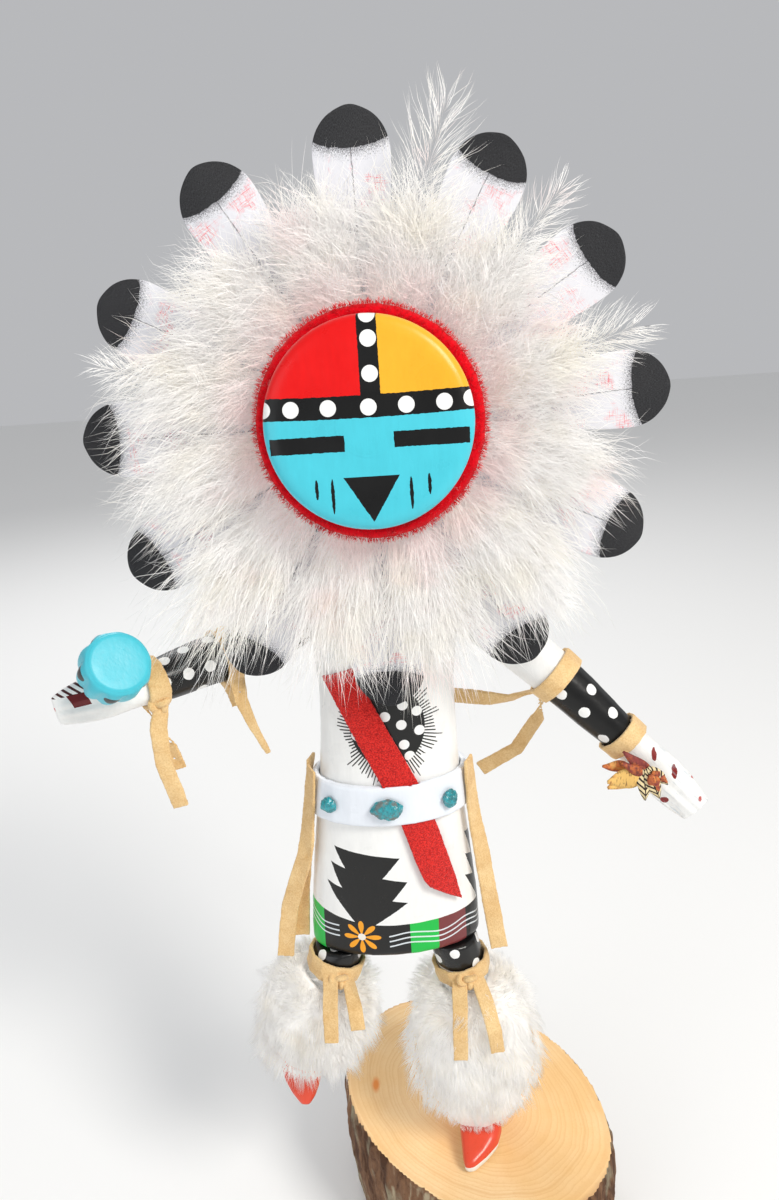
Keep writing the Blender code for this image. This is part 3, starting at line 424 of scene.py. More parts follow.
def scatter(piece, count, rng, keep=None):
    """Random places on a piece's skin with their normals, where keep(centres, normals) allows."""
    mesh = piece.data
    mesh.calc_loop_triangles()
    corners = np.empty(len(mesh.loop_triangles) * 3, np.int32)
    mesh.loop_triangles.foreach_get("vertices", corners)
    points, _ = mesh_arrays(piece)
    a, b, c = (points[corners.reshape(-1, 3)[:, i]] for i in range(3))
    cross = np.cross(b - a, c - a)
    area = np.linalg.norm(cross, axis=1)
    normals = cross / (area[:, None] + 1e-15)
    if keep is not None:
        area = area * keep((a + b + c) / 3, normals)
    chosen = rng.choice(len(area), size=count, p=area / area.sum())
    u, v = rng.random(count), rng.random(count)
    flip = u + v > 1
    u[flip], v[flip] = 1 - u[flip], 1 - v[flip]
    a, b, c = a[chosen], b[chosen], c[chosen]
    return a + (b - a) * u[:, None] + (c - a) * v[:, None], normals[chosen]


def dots_on(piece, spacing, seed, seen=()):
    """Stores each corner's distance to the nearest dot: the seen ones in millimetres, then strewn ones."""
    rng = np.random.default_rng(seed)
    points, _ = mesh_arrays(piece)
    centres = [np.array(place) * MM for place in seen]
    for index in rng.permutation(len(points)):
        point = points[index]
        if all(np.linalg.norm(point - other) > spacing for other in centres):
            centres.append(point)
    gaps = np.min([np.linalg.norm(points - centre, axis=1) for centre in centres], axis=0)
    store(piece.data, "dot_distance", gaps)
    return piece


def finish_piece(piece, material, slot, *nodes):
    """Gives a piece its material and sets it in the frame for the nodes it stands for. The slot is not used.
    """
    if material is not None:
        piece.data.materials.clear()
        piece.data.materials.append(material)
    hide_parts(*nodes)
    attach(piece, "root")
    return piece


# Making materials


class Value:
    """A number that a node gives. A sign used on it puts one more math node after it."""

    def __init__(self, shades, socket):
        self.shades = shades
        self.socket = socket

    def __add__(self, other):
        return self.shades.math("ADD", self, other)

    def __sub__(self, other):
        return self.shades.math("SUBTRACT", self, other)

    def __rsub__(self, other):
        return self.shades.math("SUBTRACT", other, self)

    def __mul__(self, other):
        return self.shades.math("MULTIPLY", self, other)

    def __truediv__(self, other):
        return self.shades.math("DIVIDE", self, other)

    def __pow__(self, other):
        return self.shades.math("POWER", self, other)

    def __lt__(self, other):
        return self.shades.math("LESS_THAN", self, other)

    def __gt__(self, other):
        return self.shades.math("GREATER_THAN", self, other)

    def __abs__(self):
        return self.shades.math("ABSOLUTE", self)


class Shades:
    """Adds nodes to one tree and joins them. They take numbers, colours, vectors and what nodes give."""

    def __init__(self, tree):
        self.tree = tree

    def node(self, kind, **settings):
        made = self.tree.nodes.new(kind)
        for key, value in settings.items():
            setattr(made, key, value)
        return made

    def feed(self, socket, value):
        if isinstance(value, Value):
            value = value.socket
        if isinstance(value, bpy.types.NodeSocket):
            self.tree.links.new(value, socket)
        elif value is not None:
            socket.default_value = value

    def set(self, node, **values):
        """Feeds a node's inputs by name, where _ stands for a space."""
        for key, value in values.items():
            self.feed(node.inputs[key.replace("_", " ")], value)
        return node

    def math(self, operation, *values):
        made = self.node("ShaderNodeMath", operation=operation)
        for socket, value in zip(made.inputs, values):
            self.feed(socket, value)
        return Value(self, made.outputs[0])

    def vector(self, operation, a, b=None):
        made = self.node("ShaderNodeVectorMath", operation=operation)
        self.feed(made.inputs[0], a)
        self.feed(made.inputs[1], b)
        if operation in ("LENGTH", "DOT_PRODUCT"):
            return Value(self, made.outputs["Value"])
        return made.outputs["Vector"]

    def mix(self, mask, below, above):
        """below where the mask is 0 and above where it is 1, both colours."""
        made = self.node("ShaderNodeMix", data_type="RGBA")
        self.feed(made.inputs[0], mask)
        for socket, value in zip(made.inputs[6:8], (below, above)):
            self.feed(socket, value if isinstance(value, bpy.types.NodeSocket) else (*value[:3], 1.0))
        return made.outputs[2]

    def noise(self, vector, scale, detail=3.0, roughness=0.5, distortion=0.0):
        made = self.set(self.node("ShaderNodeTexNoise"), Vector=vector, Scale=scale, Detail=detail,
                        Roughness=roughness, Distortion=distortion)
        return Value(self, made.outputs["Fac"])

    def wobble(self, scale, width, detail=2.0):
        """Soft noise round nought, width across at its most."""
        return (self.noise(self.place(), scale, detail) - 0.5) * width

    def spread(self, value, low, high, to_low=0.0, to_high=1.0, held=True):
        """A value's stretch from low to high, laid on 0 to 1 or another stretch, and held at its ends."""
        made = self.node("ShaderNodeMapRange", clamp=held)
        for socket, number in zip(made.inputs, (value, low, high, to_low, to_high)):
            self.feed(socket, number)
        return Value(self, made.outputs[0])

    def place(self):
        return self.node("ShaderNodeTexCoord").outputs["Object"]

    def mapped(self, vector, location=(0, 0, 0), rotation=(0, 0, 0), scale=(1, 1, 1)):
        return self.set(self.node("ShaderNodeMapping"), Vector=vector, Location=location, Rotation=rotation,
                        Scale=scale).outputs[0]

    def in_frame(self, matrix, scale=1.0):
        """Object coordinates in the frame of a matrix, in units of 1 / scale metres."""
        inverse = matrix.inverted()
        return self.mapped(self.place(), inverse.translation * scale,
                           inverse.to_3x3().to_euler("XYZ"), (scale, scale, scale))

    def parts(self, vector):
        made = self.node("ShaderNodeSeparateXYZ")
        self.feed(made.inputs[0], vector)
        return [Value(self, socket) for socket in made.outputs]

    def joined(self, *values):
        """A vector of up to three values."""
        made = self.node("ShaderNodeCombineXYZ")
        for socket, value in zip(made.inputs, values):
            self.feed(socket, value)
        return made.outputs[0]

    def attribute(self, name):
        return Value(self, self.node("ShaderNodeAttribute", attribute_name=name).outputs["Fac"])

    def between(self, value, low, high):
        return self.math("COMPARE", value, (low + high) / 2, (high - low) / 2)

    def both(self, *masks):
        made = masks[0]
        for mask in masks[1:]:
            made = made * mask
        return made

    def either(self, *masks):
        made = masks[0]
        for mask in masks[1:]:
            made = self.math("MAXIMUM", made, mask)
        return made

    def reach(self, u, v):
        """How far a place lies from the origin."""
        return self.math("SQRT", u ** 2.0 + v ** 2.0)

    def oval(self, u, v, centre, radii):
        """1 inside an oval."""
        across = (u - centre[0]) / radii[0]
        along = (v - centre[1]) / radii[1]
        return across ** 2.0 + along ** 2.0 < 1.0

    def dots(self, u, v, places, radius):
        """1 inside each of some round dots."""
        return self.either(*[self.oval(u, v, at, (radius, radius)) for at in places])

    def block(self, u, v, low, high):
        """1 inside an upright rectangle between two corners."""
        return self.both(self.between(u, low[0], high[0]), self.between(v, low[1], high[1]))

    def bump(self, height, strength, distance):
        made = self.set(self.node("ShaderNodeBump"), Strength=strength, Distance=distance, Height=height)
        return made.outputs[0]

    def use(self, group, **values):
        """Places a shared node group and gives its outputs by name."""
        return self.set(self.node("ShaderNodeGroup", node_tree=group), **values).outputs


def start_material(name, **sockets):
    """A material with its plain values on the shader's own sockets."""
    made = bpy.data.materials.new(name)
    made.use_nodes = True
    shades = Shades(made.node_tree)
    return made, shades, shades.set(made.node_tree.nodes["Principled BSDF"], **sockets)


def start_group(name, inputs, outputs):
    """A shader node group with named sockets: (name, kind, default) in, (name, kind) out."""
    tree = bpy.data.node_groups.new(name, "ShaderNodeTree")
    for label, kind, default in inputs:
        socket = tree.interface.new_socket(name=label, in_out="INPUT", socket_type=kind)
        if default is not None:
            socket.default_value = default
    for label, kind in outputs:
        tree.interface.new_socket(name=label, in_out="OUTPUT", socket_type=kind)
    shades = Shades(tree)
    return tree, shades, shades.node("NodeGroupInput").outputs, shades.node("NodeGroupOutput").inputs


def brushed_paint_group():
    """Hand-brushed paint on wood: a faint change of tone, fine strokes and small pits."""
    if "brushed_paint" in bpy.data.node_groups:
        return bpy.data.node_groups["brushed_paint"]
    tree, s, given, out = start_group(
        "brushed_paint",
        [("Vector", "NodeSocketVector", None), ("Colour", "NodeSocketColor", (1, 1, 1, 1)),
         ("Stroke Scale", "NodeSocketFloat", 900.0), ("Wear", "NodeSocketFloat", 0.5)],
        [("Colour", "NodeSocketColor"), ("Roughness", "NodeSocketFloat"), ("Height", "NodeSocketFloat")],
    )
    vector = given["Vector"]
    strokes = s.noise(s.vector("MULTIPLY", vector, (1.0, 1.0, 0.16)), given["Stroke Scale"], 4.0)
    cloud = s.noise(vector, 90.0, 4.0, 0.6)
    pits = s.spread(s.noise(vector, 2600.0, 1.0), 0.70, 0.78)
    tone = s.spread(cloud, 0.3, 0.7, -0.10, 0.06) + s.spread(strokes, 0.3, 0.7, -0.06, 0.05)
    scaled = s.vector("SCALE", given["Colour"])
    s.feed(scaled.node.inputs["Scale"], tone * given["Wear"] + 1.0)
    s.feed(out["Colour"], scaled)
    s.feed(out["Roughness"], s.spread(cloud, 0.3, 0.7, 0.24, 0.44))
    s.feed(out["Height"], strokes - pits * 0.6)
    return tree


def nap_group():
    """The short nap of suede: blotches where it lies another way, and a fine raised grain."""
    if "suede_nap" in bpy.data.node_groups:
        return bpy.data.node_groups["suede_nap"]
    tree, s, given, out = start_group(
        "suede_nap",
        [("Vector", "NodeSocketVector", None), ("Light", "NodeSocketColor", (1, 1, 1, 1)),
         ("Dark", "NodeSocketColor", (0, 0, 0, 1)), ("Grain Scale", "NodeSocketFloat", 1400.0),
         ("Grain Share", "NodeSocketFloat", 0.4)],
        [("Colour", "NodeSocketColor"), ("Height", "NodeSocketFloat")],
    )
    vector, share = given["Vector"], given["Grain Share"]
    grain = s.noise(vector, given["Grain Scale"])
    blotch = s.noise(vector, 110.0, 4.0, 0.65, 0.4)
    lie = s.spread(blotch, 0.32, 0.68) * s.math("SUBTRACT", 1.0, share)
    mask = s.spread(grain, 0.38, 0.62) * share + lie
    s.feed(out["Colour"], s.mix(mask, given["Dark"], given["Light"]))
    s.feed(out["Height"], grain + blotch * 0.5)
    return tree


def paint_material(name, painted, stroke_scale=900.0, wear=0.6, **sockets):
    """Brushed paint whose colours come from painted(shades): a socket or a plain colour."""
    made, s, shader = start_material(name, Specular_IOR_Level=0.28, **sockets)
    base = painted(s)
    brushed = s.use(brushed_paint_group(), Vector=s.place(), Stroke_Scale=stroke_scale, Wear=wear,
                    Colour=base if isinstance(base, bpy.types.NodeSocket) else (*base, 1.0))
    s.set(shader, Base_Color=brushed["Colour"], Roughness=brushed["Roughness"],
          Normal=s.bump(brushed["Height"], 0.35, 0.00012))
    return made


# The slice of log

RING_COUNT = 27.0
RESIN_SPOT = Vector((-0.0400, 0.0077, 0.0550))


def slice_frame():
    """The turn of the sawn face's long way about Z, and the slice's half sizes along and across it."""
    points = node_points("wood_stand")
    _, axes = spread_axes(np.unique(points.round(6), axis=0) * (1, 1, 0))
    long_way = math.atan2(axes[0][1], axes[0][0])
    turned = points @ np.array(Matrix.Rotation(-long_way, 3, "Z")).T
    return long_way, (turned.max(axis=0) - turned.min(axis=0)) / 2


def sawn_wood_material():
    """Pale sawn wood with growth rings, a darker rim and one spot of resin."""
    long_way, half = slice_frame()
    made, s, shader = start_material("sawn_wood", Specular_IOR_Level=0.35)
    light = colours().wood
    dark = tuple(value * share for value, share in zip(light, (0.80, 0.64, 0.45)))
    pale = tuple(min(1.0, value * share) for value, share in zip(light, (1.06, 1.20, 1.50)))
    flat = s.vector("DIVIDE", s.mapped(s.place(), rotation=(0, 0, -long_way)), (half[0], half[1], 1.0))
    x, y, _ = s.parts(flat)
    wander = s.wobble(42.0, 0.10, 3.0)
    reach = s.reach(x, y) + wander
    # Rings of uneven width: the reach is read through noise along one line
    line = s.joined(reach)
    uneven = (s.noise(line, 11.0, 2.0, 0.6) - 0.5) * 0.16
    rings = s.math("FRACT", (reach + uneven) * RING_COUNT)
    late = rings ** 2.6 * s.spread(s.noise(line, 29.0, 1.0), 0.35, 0.65, 0.35, 1.0)
    body = s.mix(s.spread(s.noise(s.place(), 30.0), 0.35, 0.65), light, pale)
    body = s.mix(late * 0.55, body, dark)
    body = s.mix(s.spread(s.noise(s.place(), 1500.0, 2.0), 0.5, 0.8) * 0.20, body, dark)
    body = s.mix(s.spread(reach, 0.955, 1.0, 0.0, 0.7), body, (0.42, 0.19, 0.11))
    away = s.vector("MULTIPLY", s.vector("SUBTRACT", s.place(), RESIN_SPOT), (1.0, 0.45, 0))
    resin = s.spread(s.vector("LENGTH", away) + wander * 0.03, 0.0010, 0.0022, 0.9, 0.0)
    body = s.mix(resin, body, (0.78, 0.22, 0.015))
    saw = s.noise(s.mapped(s.place(), scale=(1.0, 0.04, 1.0)), 1600.0, 2.0)
    s.set(shader, Base_Color=body, Roughness=s.spread(late, 0.0, 1.0, 0.62, 0.48),
          Normal=s.bump(saw + late * 0.4, 0.2, 0.0002))
    return made


def bark_material():
    """Dark bark with paler streaks that run down it, and lichen-grey patches."""
    made, s, shader = start_material("bark", Specular_IOR_Level=0.2)
    streaks = s.noise(s.mapped(s.place(), scale=(1.0, 1.0, 0.34)), 130.0, 6.0, 0.66, 0.5)
    patches = s.noise(s.mapped(s.place(), scale=(1.0, 1.0, 0.5)), 75.0, 5.0, 0.6)
    grain = s.noise(s.place(), 900.0, 3.0, 0.6)
    body = s.mix(s.spread(streaks, 0.42, 0.56), colours().bark, (0.22, 0.115, 0.062))
    body = s.mix(s.spread(patches, 0.50, 0.62, 0.0, 0.85), body, (0.34, 0.30, 0.20))
    body = s.mix(s.spread(streaks, 0.60, 0.70, 0.0, 0.8), body, (0.50, 0.42, 0.28))
    body = s.mix(s.spread(grain, 0.62, 0.75, 0.0, 0.5), body, (0.03, 0.015, 0.01))
    s.set(shader, Base_Color=body, Roughness=s.spread(grain, 0.3, 0.7, 0.75, 0.95),
          Normal=s.bump(streaks + grain * 0.4, 0.8, 0.0009))
    return made


def make_slice():
    """The slice with furrowed bark and flat sawn faces."""
    piece = copy_node("wood_stand", "log_slice")
    apply_modifier(piece, "REMESH", mode="VOXEL", voxel_size=0.00135, use_smooth_shade=True)
    apply_modifier(piece, "SMOOTH", factor=0.5, iterations=6)
    low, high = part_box("wood_stand")
    points, normals = mesh_arrays(piece)
    side = 1 - np.abs(normals[:, 2])
    inside = np.clip((points[:, 2] - low.z) / (4 * MM), 0, 1)
    inside *= np.clip((high.z - points[:, 2]) / (3 * MM), 0.15, 1)
    furrows = np.array([
        noise.fractal(Vector((x * 210, y * 210, z * 45)), 0.8, 2.0, 4)
        - 0.6 * noise.noise(Vector((x * 60, y * 60, z * 18)))
        for x, y, z in points
    ])
    moved = points + normals * (side * inside * furrows * sizes().bark_depth)[:, None]
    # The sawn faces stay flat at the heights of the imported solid
    flat_top = (normals[:, 2] > 0.6) & (points[:, 2] > high.z - 2 * MM)
    flat_low = (normals[:, 2] < -0.6) & (points[:, 2] < low.z + 2 * MM)
    moved[flat_top, 2] = high.z
    moved[flat_low, 2] = low.z
    set_points(piece, moved)
    piece.data.materials.append(bark_material())
    piece.data.materials.append(sawn_wood_material())
    sawn = np.array([abs(face.normal.z) > 0.7 for face in piece.data.polygons])
    piece.data.polygons.foreach_set("material_index", sawn.astype(np.int32))
    piece.data.polygons.foreach_set("use_smooth", ~sawn)
    return finish_piece(piece, None, "wood_slice", "wood_stand")


# Body, kilt and belt

# The kilt's pattern: where things stand round the body, degrees from the front, and its heights
HEM_TOP = 0.1590
# How far the hem's top rises at the doll's right side and at its left side
HEM_TOP_RISES = (0.0058, 0.0010)
# The two stepped motifs: where each stands, and how much lower its three tiers are, in millimetres
MOTIFS = ((-20.0, (0.0, 0.0, 0.0)), (91.0, (1.2, 3.3, 3.3)))
# Tiers of a motif: lowest and highest place, half width there, slant, step to the doll's left
MOTIF_TIERS = ((178.4, 188.6, 5.4, 12.3, 0.16, 0.8), (170.0, 180.4, 7.9, 14.3, 0.26, 0.8),
               (158.5, 171.8, 2.5, 15.4, 0.26, -0.6))
FLOWER_TURN = -23.4
FLOWER_HEIGHT = 0.1539
FLOWER_RADIUS = 0.0069
HEM_BLOCKS = (("green", -150.0, -57.0), ("green", 9.6, 29.7), ("brown", 29.7, 55.3), ("green", 118.0, 150.0))
HEM_LINE_STRETCHES = ((-150.0, -41.0), (-4.5, 180.0))
# The hem's three pale lines: how far under its top, their half width, and how far they wave
HEM_LINES = (0.0045, 0.0067, 0.0089)
HEM_LINE_HALF = 0.0003
HEM_LINE_WAVE = 0.0009
# The chest's black oval with its white dots, in millimetres from its middle
CHEST_CENTRE = (-0.0237, 0.2361)
CHEST_RADII = (12.5, 14.8)
CHEST_DOTS = ((5.5, 7.3), (-0.5, 3.75), (10.1, 4.6), (4.7, 0.4), (10.6, -2.4), (5.2, -6.8), (-10.4, -3.1),
              (6.8, -11.1), (-5.9, -11.5), (-6.6, -7.0))
CHEST_DOT_RADIUS = 1.75
CHEST_TEETH = 92


def stepped_motif(s, across, height, drops):
    """The black motif with toothed sides, across and height in millimetres."""
    tiers = []
    for (low, high, narrow, wide, slant, step), drop in zip(MOTIF_TIERS, drops):
        leaned = height + across * slant
        half = s.spread(leaned, low - drop, high - drop, narrow, wide, held=False)
        tiers.append(s.both(s.between(leaned, low - drop, high - drop), abs(across - step) < half))
    return s.either(*tiers)


def flower(s, across, height):
    """An eight-petalled flower round the origin: its petals, then its white middle."""
    wave = abs(s.math("COSINE", s.math("ARCTAN2", height, across) * 4.0))
    share = s.reach(across, height) / FLOWER_RADIUS
    slim = s.math("SINE", share * math.pi)
    petals = s.both(wave > 1.01 - slim * 0.42, share < 1.0)
    return petals, share < 0.21


def body_paint(s):
    """White body with the chest's dotted oval and the kilt's painted hem and motifs."""
    shades = colours()
    low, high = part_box("torso_and_kilt")
    x, y, z = s.parts(s.place())
    middle_x, middle_y = (low.x + high.x) / 2, (low.y + high.y) / 2
    half_x, half_y = (high.x - low.x) / 2, (high.y - low.y) / 2
    turn = s.math("ARCTAN2", (x - middle_x) / half_x, (middle_y - y) / half_y) * (180 / math.pi)
    # One degree of turn is this far round the kilt, in millimetres
    arc = half_x * math.radians(1) * 0.92 / MM
    ragged = s.wobble(700.0, 0.5)

    motifs = [stepped_motif(s, (turn - at) * arc + ragged, z * (1 / MM), drops) for at, drops in MOTIFS]
    rise = s.spread(turn, -1.0, 1.0, *HEM_TOP_RISES)
    top = s.math("SINE", turn * (math.pi / 180)) ** 2.0 * rise + HEM_TOP
    hem = z < top
    base = s.mix(s.either(hem, *motifs), shades.white, shades.black)

    for name, start, end in HEM_BLOCKS:
        base = s.mix(s.both(hem, s.between(turn, start, end)), base, getattr(shades, name))
    drop = top - z + s.math("SINE", turn * (8 * math.pi / 180) + 0.23) * HEM_LINE_WAVE
    lines = s.either(*[s.between(drop, at - HEM_LINE_HALF, at + HEM_LINE_HALF) for at in HEM_LINES])
    stretches = s.either(*[s.between(turn, start, end) for start, end in HEM_LINE_STRETCHES])
    base = s.mix(s.both(lines, stretches) * 0.85, base, (0.80, 0.86, 0.90))
    petals, eye = flower(s, (turn - FLOWER_TURN) * (arc * MM), z - FLOWER_HEIGHT)
    base = s.mix(petals, base, shades.orange)
    base = s.mix(eye, base, (0.85, 0.82, 0.75))

    facing = y < middle_y
    u, v = (x - CHEST_CENTRE[0]) * (1 / MM), (z - CHEST_CENTRE[1]) * (1 / MM)
    oval = s.oval(u, v, (0, 0), CHEST_RADII)
    across, along = u / CHEST_RADII[0], v / CHEST_RADII[1]
    reach = s.reach(across, along)
    # Comb strokes stand round the oval: each tooth has its own length, and patches of them are short
    teeth = s.math("ARCTAN2", along, across) * (CHEST_TEETH / (2 * math.pi))
    own = s.noise(s.joined(s.math("FLOOR", teeth)), 0.63, 0.0)
    patches = s.spread(s.noise(s.place(), 120.0, 1.0), 0.35, 0.6, 0.0, 0.22)
    long = s.spread(own, 0.25, 0.75, 1.03, 1.30) + patches
    slim = s.spread((reach - 1.0) / 0.5, 0.0, 1.0, 0.50, 0.22)
    fringe = s.both(s.between(reach, 1.0, 1.55), reach < long, s.math("FRACT", teeth) < slim)
    base = s.mix(s.both(facing, s.either(oval, fringe)), base, shades.black)
    dots = s.dots(u, v, CHEST_DOTS, CHEST_DOT_RADIUS)
    return s.mix(s.both(facing, dots, oval), base, shades.white)


def make_body():
    """Body and kilt in one carved block, sanded smooth and painted."""
    piece = carved_copy("torso_and_kilt", "carved_body", sizes().carving_voxel, 14, 0.4)
    roughen(piece, 0.00012, 0.012)
    low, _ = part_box("torso_and_kilt")
    points, _ = mesh_arrays(piece)
    points[:, 2] = np.maximum(points[:, 2], low.z)
    set_points(piece, points)
    material = paint_material("body_paint", body_paint, wear=0.35, Coat_Weight=0.25, Coat_Roughness=0.2)
    return finish_piece(piece, material, "white_paint", "torso_and_kilt")


def make_belt():
    """The glossy white band, with softened edges."""
    piece = carved_copy("belt", "white_belt", 0.0006, 8, 0.35)
    roughen(piece, 0.00010, 0.010, 3.0)
    material = paint_material("belt_white", lambda s: (0.80, 0.84, 0.90), wear=0.3,
                              Coat_Weight=0.4, Coat_Roughness=0.12)
    return finish_piece(piece, material, "white_belt", "belt")


def stone_material():
    """Turquoise with brown and black matrix in its cracks."""
    made, s, shader = start_material("turquoise_stone", Coat_Weight=0.5, Coat_Roughness=0.1)
    stone = colours().stone
    light = tuple(min(1.0, value * 1.6 + 0.01) for value in stone)
    cloud = s.noise(s.place(), 420.0, 4.0, 0.6)
    vein = abs(s.noise(s.place(), 380.0, 6.0, 0.68, 1.6) - 0.5)
    body = s.mix(s.spread(cloud, 0.35, 0.65), stone, light)
    body = s.mix(s.spread(vein, 0.0, 0.030, 0.85, 0.0), body, (0.05, 0.028, 0.02))
    # The middle stone has the most brown in it
    low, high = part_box(NUGGETS[1])
    middle = s.between(s.parts(s.place())[0], low.x, high.x)
    patch = s.spread(s.noise(s.place(), 260.0), 0.52, 0.62) * 0.75
    body = s.mix(s.both(patch, middle), body, (0.16, 0.11, 0.085))
    s.set(shader, Base_Color=body, Roughness=s.spread(cloud, 0.3, 0.7, 0.2, 0.45),
          Normal=s.bump(cloud + vein, 0.5, 0.0003))
    return made


def make_nuggets():
    """Three rough stones, worn round at their corners."""
    material = stone_material()
    made = []
    for i, node in enumerate(NUGGETS):
        piece = copy_node(node, f"turquoise_stone_{i + 1}")
        apply_modifier(piece, "SUBSURF", levels=3, render_levels=3)
        roughen(piece, 0.00055, 0.0028, 5.0 + i)
        piece.data.shade_smooth()
        made.append(finish_piece(piece, material, "turquoise_stone", node))
    return made


# Head

# The face's paint, in shares of the face's radius, u to the doll's left and v up
CROSS_CENTRE = 0.040
CROSS_HALF = 0.093
BAR_CENTRE = 0.158
BAR_HALF = 0.104
# How much higher the bar stands at the face's rim than at its middle
BAR_BEND = 0.022
# Paint in front of this depth behind the yarn ring's middle is the face's
FACE_DEPTH = 0.12
FACE_DOTS = ((0.046, 0.985), (0.047, 0.768), (0.045, 0.452), (0.014, 0.150), (-0.715, 0.165), (-0.364, 0.159),
             (0.367, 0.153), (0.721, 0.158), (-0.985, 0.178), (0.975, 0.178))
FACE_DOT_RADIUS = 0.077
EYES = (((-0.942, -0.246), (-0.231, -0.094)), ((0.234, -0.232), (0.945, -0.084)))
MOUTH_TOP = -0.489
MOUTH_TIP = -0.921
MOUTH_HALF = 0.267
TICKS = ((-0.375, -0.660, 0.167), (-0.525, -0.590, 0.095), (0.372, -0.665, 0.155), (0.545, -0.590, 0.100))
TICK_HALF_WIDTH = 0.017


def face_paint(s):
    """The sun face: a quartered disc with a dotted cross, eye bars, a mouth and cheek marks."""
    shades = colours()
    points = carried(node_points("head"), HEAD.inverted())
    radius = float(np.hypot(points[:, 0], points[:, 2]).max())
    u, depth, v = s.parts(s.in_frame(HEAD, 1 / radius))
    wobble = s.wobble(900.0, 0.016)
    edge_u, edge_v = u + wobble, v + wobble
    bar_middle = u ** 2.0 * BAR_BEND + BAR_CENTRE
    above_bar = v > bar_middle
    left_side = u < CROSS_CENTRE
    base = s.mix(s.both(above_bar, left_side), shades.turquoise, shades.red)
    base = s.mix(s.both(above_bar, 1.0 - left_side), base, shades.yellow)
    bar = s.math("COMPARE", edge_v, bar_middle, BAR_HALF)
    post = s.both(above_bar, s.math("COMPARE", edge_u, CROSS_CENTRE, CROSS_HALF))
    eyes = s.either(*[s.block(edge_u, edge_v, low, high) for low, high in EYES])
    half = s.spread(v, MOUTH_TIP, MOUTH_TOP, 0.0, MOUTH_HALF)
    mouth = s.both(s.between(v, MOUTH_TIP, MOUTH_TOP), abs(edge_u) < half)
    ticks = s.either(*[s.oval(edge_u, v, row[:2], (TICK_HALF_WIDTH, row[2])) for row in TICKS])
    front = depth < FACE_DEPTH
    base = s.mix(s.both(front, s.either(bar, post, eyes, mouth, ticks)), base, shades.black)
    base = s.mix(s.both(front, s.dots(u, v, FACE_DOTS, FACE_DOT_RADIUS)), base, shades.white)
    return s.mix(depth > FACE_DEPTH, base, shades.turquoise)


def make_head():
    """The round face board and the head behind it, turned in one piece."""
    matrix = HEAD @ Matrix.Rotation(math.radians(90), 4, "X")
    profile = node_profile("head", matrix)
    piece = turned_piece("sun_face_head", smooth_profile(profile), matrix)
    material = paint_material("face_paint", face_paint, stroke_scale=700.0, wear=0.45,
                              Coat_Weight=0.08, Coat_Roughness=0.35)
    return finish_piece(piece, material, "turquoise_paint", "head")


RATTLE_BODY_LENGTH = 0.0205
RATTLE_RIM = 0.0012
RATTLE_END_DEPTH = 0.0045
RATTLE_SPOTS = 5
RATTLE_SPOT_DROP = 0.0052
# Half sizes of a spot: round the body as a share of the way to the next spot, and along it in metres
RATTLE_SPOT_RADII = (0.19, 0.0020)
RATTLE_PHASE = math.radians(172)


def make_rattle():
    """The rattle, its body gathered in five soft lobes between the handle and the flat end."""
    matrix = turning_frame("rattle")
    piece = turned_piece("painted_rattle", smooth_profile(node_profile("rattle", matrix), 3), matrix)
    points, _ = mesh_arrays(piece)
    local = carried(points, matrix.inverted())
    top = local[:, 2].max()
    neck = top - RATTLE_BODY_LENGTH
    share = np.clip((top - RATTLE_RIM - local[:, 2]) / (2 * MM), 0, 1)
    share *= np.clip((local[:, 2] - neck) / (3 * MM), 0, 1)
    turn = np.arctan2(local[:, 1], local[:, 0])
    lobes = 1 - share * 0.11 * (1 - np.abs(np.cos((turn - RATTLE_PHASE) * RATTLE_SPOTS)))
    # The flat end is smaller than the body behind it
    end = np.clip((local[:, 2] - top + RATTLE_END_DEPTH) / RATTLE_END_DEPTH, 0, 1)
    local[:, :2] *= (lobes * (1 - 0.13 * end ** 1.6))[:, None]
    set_points(piece, carried(local, matrix))

    def painted(s):
        shades = colours()
        x, y, z = s.parts(s.in_frame(matrix))
        around = (s.math("ARCTAN2", y, x) - RATTLE_PHASE) * (RATTLE_SPOTS / (2 * math.pi))
        offset = s.math("FRACT", around + 20.5) - 0.5
        spots = s.oval(offset, z, (0.0, top - RATTLE_SPOT_DROP), RATTLE_SPOT_RADII)
        body = tuple(value * 0.92 for value in shades.turquoise)
        return s.mix(z < neck, s.mix(spots, body, shades.black), shades.white)

    material = paint_material("rattle_paint", painted, wear=0.5, Coat_Weight=0.08, Coat_Roughness=0.35)
    return finish_piece(piece, material, "turquoise_paint", "rattle")


YARN_RADIUS = 0.00012


def yarn_material():
    """Red yarn with painted shade that darkens it in its depth, and a few paler blotches."""
    made, s, shader = start_material("red_yarn", Roughness=0.95, Sheen_Weight=0.1, Specular_IOR_Level=0.1)
    shades = colours()
    along = s.attribute("along")
    # Painted shade: the pile darkens towards its roots and on the core, mixed with each hair's random tone
    dark = tuple(value * 0.80 for value in shades.yarn)
    body = s.mix(along * 0.5 + s.attribute("tone") * 0.5, dark, shades.yarn)
    blotch = s.spread(s.noise(s.place(), 240.0, 2.0), 0.62, 0.75)
    s.set(shader, Base_Color=s.mix(s.both(blotch, along), body, shades.blush))
    return made


